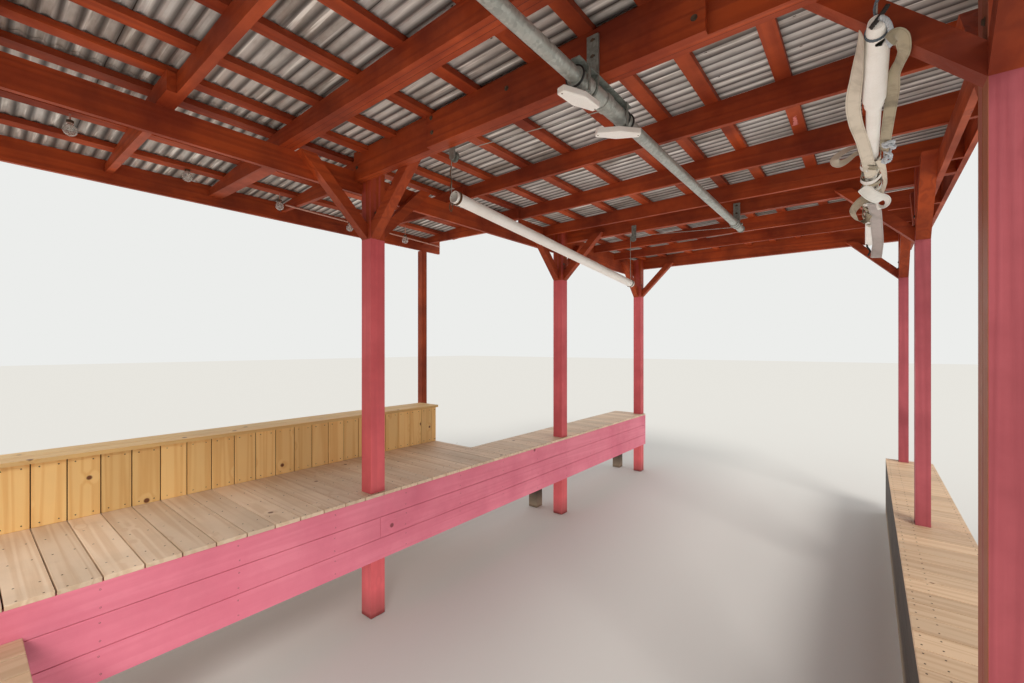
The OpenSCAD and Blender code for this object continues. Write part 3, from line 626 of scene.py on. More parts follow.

# %% [markdown]
# The roof is old zinc sheet: dull grey-brown underneath, with stains and painted glints that
# run down the corrugations. A cosine in step with the sheets' own wave paints shade into each
# recess, and a thin dark line marks where one sheet laps the next. Faces that look up are
# darkened as painted shade, so the sunlit top stays duller than the underside.

# %% Marks on the sheets
WAVE_PITCH = 0.076
SHEET_W = 10 * WAVE_PITCH
ROOF_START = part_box("slip_roof")[0].y
sheet_marks_and_light, taken, given = new_group(
    "sheet marks and painted light", {"Fine": 30.0, "Share": 0.54}, ("Painted glint", "Stain", "Recess shade", "Lap", "Upper"))
spot = place_of(sheet_marks_and_light)
# Painted glints: a fine noise drawn out along the slope, in thin bright lines.
fine = noise(sheet_marks_and_light, vector(sheet_marks_and_light, "MULTIPLY", spot, (0.04, 1.0, 1.0)), taken["Fine"], 3.0)
smear = noise(sheet_marks_and_light, vector(sheet_marks_and_light, "MULTIPLY", spot, (0.4, 1.0, 1.0)), 2.6, 6.0, 0.65)
place = add(sheet_marks_and_light, "SeparateXYZ", {0: spot})
along = calc(sheet_marks_and_light, "SUBTRACT", place.outputs["Y"], ROOF_START)
wave = calc(sheet_marks_and_light, "COSINE", calc(sheet_marks_and_light, "MULTIPLY", along, 2 * math.pi / WAVE_PITCH))
facing = add(sheet_marks_and_light, "SeparateXYZ", {0: add(sheet_marks_and_light, "NewGeometry").outputs["Normal"]})
# Faces that look up, for the painted shade on the top and the weaker recess shade there.
upper = remap(sheet_marks_and_light, facing.outputs["Z"], (-0.2, 0.2))
# The recess mask is painted shade: a cosine in step with the wave, weaker on faces that look up.
recess = calc(sheet_marks_and_light, "MULTIPLY", remap(sheet_marks_and_light, wave, (-0.4, 1.0)), remap(sheet_marks_and_light, upper, to=(1.0, 0.3)))
part = calc(sheet_marks_and_light, "FRACT", calc(sheet_marks_and_light, "MULTIPLY", along, 1 / SHEET_W))
fill(sheet_marks_and_light, given, {"Painted glint": remap(sheet_marks_and_light, fine, (taken["Share"], 0.66)),
                      "Stain": remap(sheet_marks_and_light, smear, (0.42, 0.66)), "Recess shade": recess,
                      "Lap": calc(sheet_marks_and_light, "LESS_THAN", part, 0.006), "Upper": upper})

# %% Zinc
zinc, tree, face = shader("dull zinc sheet")
marks = use(tree, sheet_marks_and_light)
shown = blend(tree, marks["Stain"], colour(216, 214, 212), colour(154, 146, 138))
# Painted highlight: pale glints along the corrugations.
shown = blend(tree, marks["Painted glint"], shown, colour(252, 250, 246))
# Painted shade in each recess of the corrugation.
shown = blend(tree, calc(tree, "MULTIPLY", marks["Recess shade"], 0.85), shown, colour(56, 50, 48))
shown = blend(tree, marks["Lap"], shown, colour(40, 34, 30))
# Faces that look up are darkened as painted shade, against the sun on the top.
shaded_top = add(tree, "HueSaturation", {"Value": remap(tree, marks["Upper"], to=(1.0, 0.62)), "Color": shown})
fill(tree, face, {"Base Color": shaded_top, "Metallic": 0.12, "Roughness": 0.62, "Specular IOR Level": 0.25})
dress(zinc, "slip_roof", "lean_to_roof")
print("the roof is dressed")

# %% [markdown]
# The hoist's pipe, hangers and cables are galvanised: pale grey with a faint crystal
# pattern, which a fine cell texture gives. Fastenings are of the same steel, more stained.


# %% Speckled finishes
def speckled(name, light, dark, soil_tint, metallic, rough, grit=60.0, patches=0.4):
    """A cast or coated surface: two tones in fine cells, with dirt in patches."""
    material, tree, face = shader(name)
    crystals = add(tree, "TexVoronoi", {"Vector": place_of(tree), "Scale": grit})
    tone = add(tree, "SeparateColor", {0: crystals.outputs["Color"]})
    soil = use(tree, dirt, {"Patch size": 5.0, "Patches": patches, "Wet height": 0.0})
    facets = blend(tree, tone, colour(*light), colour(*dark))
    fill(tree, face, {"Base Color": blend(tree, soil["Dirt"], facets, colour(*soil_tint)),
                      "Metallic": metallic, "Roughness": remap(tree, soil["Dirt"], to=(rough, rough + 0.3)),
                      "Normal": bumps(tree, tone.outputs[1], 0.12, 0.001)})
    return material


print("a speckled finish has two tones and dirt")

# %% Metal and plastic in their colours
galvanised = speckled("galvanised steel", (186, 190, 184), (158, 163, 158), (104, 96, 84), 0.35, 0.4)
plate_steel = speckled("weathered plate steel", (148, 156, 150), (122, 128, 122), (86, 74, 62), 0.3, 0.5)
fastening = speckled("stained fastenings", (104, 88, 70), (76, 62, 50), (56, 40, 32), 0.2, 0.6)
black_iron = speckled("black rubber and iron", (44, 44, 44), (30, 30, 31), (70, 62, 54), 0.1, 0.55)
tan_pipe = speckled("painted conduit", (214, 168, 152), (196, 148, 132), (140, 96, 80), 0.0, 0.5)
white = speckled("white plastic", (250, 248, 243), (244, 242, 236), (206, 196, 178), 0.0, 0.42, 300.0, 0.25)
lens = speckled("frosted lens", (248, 247, 243), (240, 239, 234), (214, 208, 196), 0.0, 0.3, 500.0, 0.1)
rope_brown = speckled("old brown rope", (124, 92, 66), (88, 62, 42), (60, 44, 32), 0.0, 0.9, 400.0)
rope_blue = speckled("blue-grey rope", (120, 132, 142), (86, 98, 108), (60, 60, 58), 0.0, 0.9, 400.0)
rope_white = speckled("white rope", (214, 218, 222), (176, 184, 192), (110, 112, 112), 0.0, 0.9, 400.0)
dress(galvanised, "hoist_pipe", "cable_drum", "hoist_cables")
dress(plate_steel, "pipe_hangers", "sheave_brackets")
dress(tan_pipe, "conduit")
print("metal and plastic are ready")

# %% [markdown]
# Screws show as small dark dots in pairs at each joist. One head is modelled: a short
# cylinder whose top is inset and pressed in. It is copied to every place, where it lies
# on its board.


# %% Heads
def add_round(name, sides, radius, long, height=0.0, ends="NGON"):
    """An upright cylinder, open or closed, with its middle at a height over the origin."""
    bpy.ops.mesh.primitive_cylinder_add(vertices=sides, radius=radius, depth=long, location=(0, 0, height),
                                        end_fill_type=ends)
    return settle(name)


def add_head(name, sides, radius, height, dish):
    """A screw or bolt head on the origin, facing up, with a pressed-in middle."""
    head = add_round(name, sides, radius, height, height / 2)
    for vertex in head.data.vertices:
        vertex.select = vertex.co.z > height - 1e-5
    for edge in head.data.edges:
        edge.select = False
    for polygon in head.data.polygons:
        polygon.select = polygon.center.z > height - 1e-5
    bpy.ops.object.mode_set(mode="EDIT")
    bpy.ops.mesh.select_mode(type="FACE")
    bpy.ops.mesh.inset(thickness=radius * 0.45, depth=-dish)
    bpy.ops.object.mode_set(mode="OBJECT")
    return head


def bolt():
    """A hexagon head on a round washer."""
    washer = ease(add_round("washer", 12, 0.016, 0.003, 0.0015), 0.0008, 1)
    return join("bolt", [add_head("bolt", 6, 0.0105, 0.009, 0.0012), washer])


print("a head is a cylinder with its top pressed in")

# %% Copies that face a side
FACES = {"up": (0, "X"), "down": (180, "X"), "to the lake": (90, "Y"), "to the shore": (-90, "Y"),
         "near": (90, "X"), "far": (-90, "X")}


def at(place, facing="up"):
    """The matrix that places a piece and turns its top to face a side."""
    degrees, axis = FACES[facing]
    return Matrix.Translation(place) @ Matrix.Rotation(math.radians(degrees), 4, axis)


def new_object(name, data):
    piece = bpy.data.objects.new(name, data)
    bpy.context.collection.objects.link(piece)
    return piece


def strew(name, pattern, moves):
    """Copies of one small pattern at many places, as one piece. The pattern itself goes."""
    copies = []
    for move in moves:
        copies.append(new_object(pattern.name, pattern.data.copy()))
        copies[-1].data.transform(move)
    print(name + ":", len(copies))
    whole = join(name, copies)
    bpy.data.objects.remove(pattern)
    return whole


print("a head can face:", ", ".join(FACES))

# %% Board screws
SCREW_INSET = 0.04
SCREW_END = 0.02
SUNK = 0.0015
SCREW_ROWS = 14
ROW_END = 0.06
EDGE_IN = 0.03
NARROW_X = FASCIA_X - DECK_NARROW + PLY / 2
joist_lines = (FASCIA_X - PLY / 2, shore_low.x - PLY / 2, NARROW_X, (wall_high.x + NARROW_X) / 2)


def screw_rows(first, last):
    """For each board of a band: where it starts, and the two places across it for screws."""
    for start, wide in board_rows(first, last):
        pair = (start + SCREW_INSET, start + BOARD_PITCH - BOARD_GAP - SCREW_INSET)
        yield start, [min(y, last - SCREW_END) for y in pair]


places = []
for start, pair in screw_rows(deck_low.y, deck_high.y):
    for x in joist_lines:
        if start < wall_high.y or x >= NARROW_X:
            for y in pair:
                places.append(at((x + chance.uniform(-0.004, 0.004), y, deck_high.z - SUNK)))
for start, pair in screw_rows(walk_low.y, walk_high.y):
    for x in (walk_low.x + EDGE_IN, lake_low.x - 0.02, walk_high.x - EDGE_IN):
        places += [at((x, y, walk_high.z - SUNK)) for y in pair]
for start, pair in screw_rows(wall_low.y, wall_high.y):
    for z in (wall_low.z + EDGE_IN, wall_high.z - EDGE_IN):
        places += [at((wall_high.x - SUNK, y, z), "to the lake") for y in pair]
for row in range(SCREW_ROWS):
    y = fascia_low.y + ROW_END + row * (fascia_high.y - fascia_low.y - 2 * ROW_END) / (SCREW_ROWS - 1)
    for step in range(3):
        top = fascia_high.z - step * BOARD_PITCH
        for z in (top - SCREW_INSET, top - FASCIA_W + SCREW_INSET):
            places.append(at((fascia_high.x - SUNK, y + chance.uniform(-0.006, 0.006), z), "to the lake"))
screws = strew("board_screws", add_head("screw", 8, 0.0048, 0.002, 0.0008), places)
carry(screws, fastening, "frame", "galvanised_steel")

# %% [markdown]
# Hexagon bolts hold the girders to the posts, two at each crossing, and the stiffener
# plank to its girder. Screws with washers hold the roof sheets, one on every fourth crest
# over each purlin, where the rain runs past them.

# %% Frame bolts
girder_low, girder_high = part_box("hoist_girder")
stiff_low, stiff_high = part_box("girder_stiffener")
middle_low, middle_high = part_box("middle_girder")
ends_low, ends_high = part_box("end_girders")
places = []
for face_y, facing, low, high in ((girder_low.y, "near", girder_low, girder_high),
                                  (middle_high.y, "far", middle_low, middle_high),
                                  (ends_low.y, "near", ends_low, ends_high),
                                  (ends_high.y, "far", ends_low, ends_high)):
    for x in ((shore_low.x + shore_high.x) / 2, (lake_low.x + lake_high.x) / 2):
        for share, shift in ((0.32, -0.022), (0.72, 0.022)):
            places.append(at((x + shift, face_y, low.z + share * (high.z - low.z)), facing))
for x, share in ((stiff_low.x + 0.05, 0.75), (stiff_low.x + 0.06, 0.35), (stiff_low.x + 0.75, 0.6),
                 (stiff_high.x - 0.06, 0.7), (stiff_high.x - 0.05, 0.3)):
    places.append(at((x, stiff_low.y, stiff_low.z + share * (stiff_high.z - stiff_low.z)), "near"))
for x, facing in ((shore_high.x, "to the lake"), (lake_low.x, "to the shore")):
    for row in POST_ROWS[1:]:
        places += [at((x, row + shift, z), facing) for shift, z in ((0.02, 3.44), (-0.02, 3.52))]
carry(strew("frame_bolts", bolt(), places), fastening, "frame", "galvanised_steel")

# %% Roof screws
SHEET_DEPTH = 0.0182
SHEET_SUNK = 0.0025
SCREW_STEP = 4 * WAVE_PITCH
SLIP_LINES = (-1.2, -0.8, -0.35, 0.1, 0.55, 1.0, 1.45, 1.9, 2.35, 2.72)
LEAN_TO_LINES = (-1.42, -2.04, -2.46)
places = []
for roof, lines in (("slip_roof", SLIP_LINES), ("lean_to_roof", LEAN_TO_LINES)):
    low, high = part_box(roof)
    slope = (high.z - low.z - SHEET_DEPTH) / (high.x - low.x)
    y = low.y + WAVE_PITCH * 1.5
    while y < high.y - WAVE_PITCH:
        places += [at((x, y, low.z + SHEET_DEPTH + slope * (x - low.x) - SHEET_SUNK)) for x in lines]
        y += SCREW_STEP
roof_screws = strew("roof_screws", add_head("roof_screw", 8, 0.008, 0.004, 0.001), places)
carry(roof_screws, fastening, "frame", "galvanised_steel")

# %% [markdown]
# Round bands recur on the hoist: the drum's flanges, the pipe's end clamp and the bulbs'
# sockets. An open cylinder gets its thickness from Solidify and soft rims from Bevel.


# %% Drum flanges
def smooth(piece, degrees):
    """Shades a piece smooth, up to edges this sharp."""
    pick(piece)
    bpy.ops.object.shade_smooth_by_angle(angle=math.radians(degrees))
    return piece


def band(name, centre, radius, wall, width, facing="near", sides=40):
    """A round band about a point, its axis along Y unless it faces otherwise."""
    ring = add_round(name, sides, radius, width, ends="NOTHING")
    reshape(ring, "SOLIDIFY", thickness=wall, offset=1)
    reshape(ring, "BEVEL", width=min(wall, width) * 0.2, segments=2)
    ring.data.transform(at(centre, facing))
    return smooth(ring, 40)


pipe_low, pipe_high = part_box("hoist_pipe")
drum_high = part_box("cable_drum")[1]
PIPE = Vector(((pipe_low.x + pipe_high.x) / 2, 0, (pipe_low.z + pipe_high.z) / 2))
PIPE_R = (pipe_high.x - pipe_low.x) / 2
DRUM_R = 0.048
HAIR = 0.0002
FLANGES_Y = (-1.741, -1.185, -1.13)
flanges = [band("flange", (PIPE.x, y, PIPE.z), DRUM_R + HAIR, 0.008, 0.011) for y in FLANGES_Y]
carry(join("drum_flanges", flanges), black_iron, "hoist", "galvanised_steel")
print("drum flanges:", len(flanges))

# %% [markdown]
# The two shore-side cables wind on the drum in a few tight turns. One turn is a thin ring,
# copied side by side. The rings stand square to the pipe, so they turn in their own place.

# %% Cable turns
CABLE_R = 0.003
TURN_PITCH = 2 * CABLE_R + 0.0003
FIRST_TURN_Y = -1.462
TURNS = 11


def thin_ring(name, radius, wire, around, section):
    """A ring of round wire about the origin, lying flat."""
    bpy.ops.mesh.primitive_torus_add(major_radius=radius, minor_radius=wire, major_segments=around,
                                     minor_segments=section)
    return settle(name)


turn_ring = thin_ring("turn", DRUM_R + CABLE_R + HAIR, CABLE_R, 36, 8)
bpy.ops.object.shade_smooth()
places = [at((PIPE.x, FIRST_TURN_Y + turn * TURN_PITCH, PIPE.z), "near") for turn in range(TURNS)]
carry(strew("cable_turns", turn_ring, places), galvanised, "hoist", "galvanised_steel")

# %% [markdown]
# Past its drum the pipe carries a clamp of two halves, drawn together by bolts through its
# ears: a band with two bevelled blocks on it. A narrower band ends the pipe. The hangers'
# plates are bolted to the girders, two bolts to a plate.

# %% Clamp and hanger bolts
CLAMP_PAST = 0.04
clamp_y = drum_high.y + CLAMP_PAST
EAR_OUT = 0.015
EAR_HALF = Vector((0.011, 0.015, 0.009))
clamp = [band("clamp", (PIPE.x, clamp_y, PIPE.z), PIPE_R + HAIR, 0.006, 0.034),
         band("clamp", (PIPE.x, pipe_high.y - 0.012, PIPE.z), PIPE_R + HAIR, 0.004, 0.022)]
for side in (-1, 1):
    middle = Vector((PIPE.x + side * (PIPE_R + EAR_OUT), clamp_y, PIPE.z))
    clamp.append(ease(add_block("clamp_ear", middle - EAR_HALF, middle + EAR_HALF), 0.002))
    nut = add_head("clamp_bolt", 6, 0.008, 0.007, 0.001)
    nut.data.transform(at(middle + Vector((0, 0, EAR_HALF.z))))
    clamp.append(nut)
carry(join("pipe_clamp", clamp), plate_steel, "hoist", "galvanised_steel")

PLATE_T = 0.006
PLATE_X = PIPE.x + 0.022
PLATE_TOP = 3.956
TALL_PLATE_TOP = 4.016
places = []
for low, plate_top in ((ends_low, PLATE_TOP), (stiff_low, TALL_PLATE_TOP), (middle_low, PLATE_TOP)):
    places += [at((PLATE_X, low.y - PLATE_T, plate_top - drop), "near") for drop in (0.026, 0.112)]
carry(strew("hanger_bolts", bolt(), places), fastening, "frame", "galvanised_steel")

# %% [markdown]
# The two lamps under the drum are long six-sided housings of white plastic with a frosted
# lens below. A six-sided cylinder is squared out to the housing's outline and bevelled. The
# lens is a thinner one of the same outline, with ribs across it.

# %% A lamp's outline
LAMP_LONG = 0.265
LAMP_WIDE = 0.100
LAMP_T = 0.035
LAMP_END = 0.5
LENS_T = 0.004
RIB_STEP = 0.018
RIB_HALF = Vector((LAMP_WIDE * 0.26, 0.0012, 0.0011))


def six_sided(name, thick, middle, wide, long, soft, segments):
    """A plate with a lamp's outline: widest at its middle, with straight ends."""
    plate = add_round(name, 6, 1, thick, middle)
    for vertex in plate.data.vertices:
        side = -1 if vertex.co.y < 0 else 1
        end = 1 if vertex.co.x < 0 else -1
        if abs(vertex.co.y) > 0.9:
            vertex.co.x = side * wide / 2
            vertex.co.y = 0
        else:
            vertex.co.x = side * wide / 2 * LAMP_END
            vertex.co.y = end * long / 2
    return ease(plate, soft, segments)


print("a lamp is", LAMP_LONG, "m long")

# %% Housings and lenses
lamp_parts = ([], [], [])
for number, (y, drop, turn) in enumerate(((-1.700, 0.0775, 14), (-1.240, 0.0825, 51)), 1):
    housing = six_sided("lamp_" + str(number), LAMP_T, -LAMP_T / 2, LAMP_WIDE, LAMP_LONG, 0.006, 3)
    cover = [six_sided("cover", LENS_T, 0.3 * LENS_T - LAMP_T, LAMP_WIDE * 0.80, LAMP_LONG * 0.86, 0.0012, 2)]
    for step in range(-5, 6):
        middle = Vector((0, step * RIB_STEP, -LAMP_T - 0.0005))
        cover.append(ease(add_block("rib", middle - RIB_HALF, middle + RIB_HALF), 0.0006, 1))
    heads = [add_head("lamp_screw", 10, 0.004, 0.0016, 0.0006) for end in (-1, 1)]
    for head, end in zip(heads, (-1, 1)):
        head.data.transform(at((0, end * LAMP_LONG * 0.455, -LAMP_T + 0.0004), "down"))
    move = Matrix.Translation((PIPE.x, y, PIPE.z - drop)) @ Matrix.Rotation(math.radians(-turn), 4, "Z")
    for kind, part in zip(lamp_parts, (housing, join("lens", cover), join("lamp_screws", heads))):
        part.data.transform(move)
        kind.append(part)
for name, parts, material in (("lamp_housings", lamp_parts[0], white), ("lamp_lenses", lamp_parts[1], lens),
                              ("lamp_fixings", lamp_parts[2], fastening)):
    carry(join(name, parts), material, "frame", "white_plastic", "lamps")
print("lamps:", len(lamp_parts[0]))

# %% [markdown]
# Clear globe bulbs hang from the lean-to's purlins. A sphere's cap is taken off and the
# hole's rim is drawn up into a neck, then Solidify makes it a thin glass shell. Inside is
# a small stem with a bright filament.

# %% Globe and filament
BULB_R = 0.040
NECK_R = 0.013


def add_globe():
    """One bulb's shell round the origin, with its neck up."""
    bpy.ops.mesh.primitive_uv_sphere_add(segments=28, ring_count=18, radius=BULB_R)
    shell = settle("globe")
    rim = math.sqrt(BULB_R ** 2 - NECK_R ** 2)
    bpy.ops.object.mode_set(mode="EDIT")
    bpy.ops.mesh.select_all(action="SELECT")
    bpy.ops.mesh.bisect(plane_co=(0, 0, rim), plane_no=(0, 0, 1), clear_outer=True)
    bpy.ops.mesh.extrude_edges_move(TRANSFORM_OT_translate={"value": (0, 0, 0.009)})
    bpy.ops.object.mode_set(mode="OBJECT")
    reshape(shell, "SOLIDIFY", thickness=0.0012)
    return smooth(shell, 50)


def add_filament():
    """A tapered stem with a ring of bright wire round it."""
    bpy.ops.mesh.primitive_cone_add(vertices=12, radius1=0.003, radius2=0.006, depth=0.03,
                                    location=(0, 0, 0.024))
    return join("filament", [settle("stem"), thin_ring("wire", 0.009, 0.0009, 18, 6)])


print("a globe is", 2 * BULB_R, "m wide")

# %% Bulbs
bulb_low, bulb_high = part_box("light_bulbs")
BULB_FIRST_Y = bulb_low.y + BULB_R
BULB_STEP = (bulb_high.y - BULB_R - BULB_FIRST_Y) / 4
BULBS = ((-2.0405, 3.833), (-2.4585, 3.844), (-2.4585, 3.782), (-2.4585, 3.727), (-2.4585, 3.730))
clear_glass, tree, face = shader("clear glass")
film = use(tree, dirt, {"Patch size": 20.0, "Patches": 0.35, "Wet height": 0.0})
fill(tree, face, {"Base Color": blend(tree, film["Dirt"], colour(252, 252, 250), colour(214, 208, 192)),
                  "Roughness": remap(tree, film["Dirt"], to=(0.08, 0.35)), "Transmission Weight": 0.85,
                  "IOR": 1.3})
bulb_places = [Vector((x, BULB_FIRST_Y + number * BULB_STEP, z)) for number, (x, z) in enumerate(BULBS)]
moves = [at(place) for place in bulb_places]
carry(strew("bulb_globes", add_globe(), moves), clear_glass, "frame", "bulb_glass", "light_bulbs")
carry(strew("bulb_filaments", add_filament(), moves), lens, "frame", "white_plastic", "light_bulbs")
moves = [at(place + Vector((0, 0, BULB_R + 0.015))) for place in bulb_places]
socket_band = band("socket", (0, 0, 0), 0.0191, 0.0012, 0.0185, "up", 24)
carry(strew("bulb_sockets", socket_band, moves), fastening, "frame", "galvanised_steel")

# %% [markdown]
# Two white tubes hang level with the eye in cables, and keep a boat's sling apart. They
# are open plastic pipes, so each is a hollow tube: an open cylinder along its line with a
# wall from Solidify. The lake-side one has a wider sleeve over its near end.


# %% Hollow tubes
def along_line(start, end):
    """The matrix that lays an upright piece on the line between two points."""
    return Matrix.Translation(start) @ (end - start).to_track_quat("Z", "Y").to_matrix().to_4x4()


def tube(name, start, end, radius, wall=0.004, steps=6):
    """A hollow tube from one point to another."""
    long = (end - start).length
    hollow = add_round(name, 32, radius, long, long / 2, "NOTHING")
    bpy.ops.object.mode_set(mode="EDIT")
    for step in range(1, steps):
        bpy.ops.mesh.select_all(action="SELECT")
        bpy.ops.mesh.bisect(plane_co=(0, 0, long * step / steps), plane_no=(0, 0, 1))
    bpy.ops.object.mode_set(mode="OBJECT")
    reshape(hollow, "SOLIDIFY", thickness=wall, offset=-1)
    hollow.data.transform(along_line(start, end))
    return smooth(hollow, 50)


def bite(piece, place, radius):
    """Breaks a ragged hole through the near wall of a tube."""
    bpy.ops.mesh.primitive_ico_sphere_add(subdivisions=2, radius=radius, location=place)
    tool = settle("bite")
    for vertex in tool.data.vertices:
        vertex.co += Vector([chance.uniform(-0.18, 0.18) * radius for _ in range(3)])
    cut_with(piece, tool)


def on_line(line, share):
    return line[0].lerp(line[1], share)


SHORE_TUBE = (Vector((-0.133, -1.460, 3.441)), Vector((-0.1805, 1.730, 3.166)))
LAKE_TUBE = (Vector((2.233, -1.626, 3.537)), Vector((2.213, 1.896, 3.376)))
LAKE_END = LAKE_TUBE[0]
LAKE_LONG = (LAKE_TUBE[1] - LAKE_END).length
print("lake-side tube:", round(LAKE_LONG, 3), "m")

# %% Spreader tubes
TUBE_R = 0.044
LAKE_R = 0.030
SLEEVE = 0.570
END_SHARE = 0.62
SQUEEZED = 0.16

shore_tube = tube("shore_tube", *SHORE_TUBE, TUBE_R)
bite(shore_tube, SHORE_TUBE[0] + Vector((0.012, 0.03, 0.036)), 0.024)
sleeve = tube("sleeve", LAKE_END, on_line(LAKE_TUBE, SLEEVE / LAKE_LONG), TUBE_R)
ahead = (LAKE_TUBE[1] - LAKE_END).normalized()
for vertex in sleeve.data.vertices:
    reach = (vertex.co - LAKE_END).dot(ahead)
    if reach < SQUEEZED:
        middle = LAKE_END + ahead * reach
        vertex.co = middle + (vertex.co - middle) * (END_SHARE + (1 - END_SHARE) * max(0.0, reach) / SQUEEZED)
cap = ease(add_round("cap", 32, TUBE_R * END_SHARE + 0.001, 0.028), 0.009, 3)
shift = Vector((0, 0.012, 0))
cap.data.transform(along_line(LAKE_END + shift, LAKE_TUBE[1] + shift))
bite(sleeve, LAKE_END + Vector((0.012, 0.085, -0.034)), 0.018)
taper = tube("taper", on_line(LAKE_TUBE, (SLEEVE - 0.01) / LAKE_LONG),
             on_line(LAKE_TUBE, (SLEEVE + 0.06) / LAKE_LONG), TUBE_R * 0.86, steps=2)
inner = tube("inner_tube", on_line(LAKE_TUBE, 0.06), LAKE_TUBE[1], LAKE_R)
rings = []
for share in (0.335, 0.67):
    ends = (on_line(SHORE_TUBE, share), on_line(SHORE_TUBE, share + 0.02))
    rings.append(tube("joint", *ends, TUBE_R + 0.0015, 0.003))
tubes = join("spreader_tubes", [shore_tube, sleeve, cap, taper, inner] + rings)
carry(tubes, white, "frame", "white_plastic", "spreader_tube")
print("joints on the shore-side tube:", len(rings))

# %% [markdown]
# Old rope ties the shore-side tube to its cable, and a blue-grey one holds the lake-side
# tube's near end. A rope is three thin curves with a round section, which wind round the
# rope's line and so give it its lay.


# %% Ropes
def smooth_path(points, per_part=8):
    """A line of points along a smooth curve through the given ones."""
    points = [Vector(point) for point in points]
    padded = [points[0] * 2 - points[1]] + points + [points[-1] * 2 - points[-2]]
    path = []
    for a, b, c, d in zip(padded, padded[1:], padded[2:], padded[3:]):
        for step in range(per_part):
            t = step / per_part
            path.append(0.5 * (2 * b + (c - a) * t + (2 * a - 5 * b + 4 * c - d) * t * t
                               + (3 * b - a - 3 * c + d) * t ** 3))
    path.append(points[-1])
    return path


def rope(points, radius, lay=0.03):
    """A laid rope of three strands through the given points, as one mesh."""
    path = smooth_path(points)
    strands = []
    for strand in range(3):
        curve = bpy.data.curves.new("rope", "CURVE")
        curve.dimensions = "3D"
        curve.bevel_depth = radius * 0.56
        curve.bevel_resolution = 1
        curve.use_fill_caps = True
        spline = curve.splines.new("POLY")
        spline.points.add(len(path) * 3 - 4)
        gone = 0.0
        for number in range(len(spline.points)):
            low = min(number // 3, len(path) - 2)
            here = path[low].lerp(path[low + 1], number / 3 - low)
            ahead = (path[low + 1] - path[low]).normalized()
            if number:
                gone += (here - last).length
                side = (side - ahead * side.dot(ahead)).normalized()
            else:
                side = ahead.orthogonal().normalized()
            last = here
            spin = Matrix.Rotation(gone / lay * 2 * math.pi + strand * 2 * math.pi / 3, 3, ahead)
            spline.points[number].co = (*(here + spin @ side * radius * 0.5), 1)
        strands.append(new_object("rope", curve))
    pick(*strands)
    bpy.ops.object.convert(target="MESH")
    whole = join("rope", strands)
    bpy.ops.object.shade_smooth()
    return whole


print("points in a smooth path through three:", len(smooth_path([(0, 0, 0), (0, 1, 0), (1, 1, 0)])))


# %% Windings
def directions(line):
    """Along a line, up from it and sideways."""
    ahead = (line[1] - line[0]).normalized()
    up = (Vector((0, 0, 1)) - ahead * ahead.z).normalized()
    return ahead, up, ahead.cross(up)


def wound(line, share, radius, turns, pitch, phase=0.0):
    """Points of a winding round a tube's line, from one place along it."""
    ahead, up, side = directions(line)
    points = []
    for step in range(int(turns * 12) + 1):
        angle = phase + step / 12 * 2 * math.pi
        here = on_line(line, share) + ahead * pitch * step / 12
        points.append(here + up * math.cos(angle) * radius + side * math.sin(angle) * radius)
    return points


print("points in one turn:", len(wound(SHORE_TUBE, 0.5, TUBE_R, 1, 0.01)))

# %% Ties
WIND_R = TUBE_R + 0.0035
ties = [rope(wound(SHORE_TUBE, 0.006, WIND_R, 3, 0.007), 0.003),
        rope([(-0.172, -1.452, 3.452), (-0.190, -1.448, 3.50), (-0.176, -1.446, 3.57), (-0.188, -1.446, 3.63),
              (-0.176, -1.447, 3.68)], 0.004),
        rope([(-0.178, -1.45, 3.42), (-0.186, -1.456, 3.38), (-0.172, -1.452, 3.345), (-0.160, -1.45, 3.372),
              (-0.168, -1.45, 3.41)], 0.004),
        rope(wound(SHORE_TUBE, 0.985, WIND_R, 2, 0.007), 0.003)]
carry(join("rope_ties", ties), rope_brown, "frame", "sling_webbing")
blue = [rope([(2.236, -1.575, 3.560), (2.228, -1.602, 3.60), (2.240, -1.603, 3.65), (2.246, -1.598, 3.69)],
             0.006),
        rope(wound(LAKE_TUBE, 0.014, TUBE_R * 0.78, 2, 0.008, 1.0), 0.003)]
carry(join("rope_ties_lake", blue), rope_blue, "frame", "sling_webbing")
print("ties:", len(ties) + len(blue))

# %% [markdown]
# The lifting sling's webbing is wound on the lake-side tube, hangs in slack loops beside
# it and ends in a folded tail. Each strap is a ribbon of constant width, since webbing does
# not stretch: a line of points gives its middle, and an angle for each gives its twist.
# Where a strap shows freely in the photograph, its points are placed along the camera's
# lines of sight, at the tube's own distance. Its UV map runs along it for the weave.

# %% Lines of sight
FOCUS = 446
MIDDLE_X = 512
MIDDLE_Y = 346.5
EYE = camera.location.copy()
YAW = camera.rotation_euler[2]
AHEAD = Vector((-math.sin(YAW), math.cos(YAW), 0))
TO_RIGHT = Vector((math.cos(YAW), math.sin(YAW), 0))


def sight(across, down, far):
    """The place seen at a pixel, this far along the slip from the camera."""
    ray = AHEAD + TO_RIGHT * (across - MIDDLE_X) / FOCUS + Vector((0, 0, (MIDDLE_Y - down) / FOCUS))
    return EYE + ray * (far / ray.y)


print("camera at", tuple(round(value, 3) for value in EYE))

# %% A strap
WEB_T = 0.0018
WEB_SAG = 0.0012
CELLS = 4


def heading(path, number):
    """The direction of a path at one of its points."""
    return (path[min(number + 1, len(path) - 1)] - path[max(number - 1, 0)]).normalized()


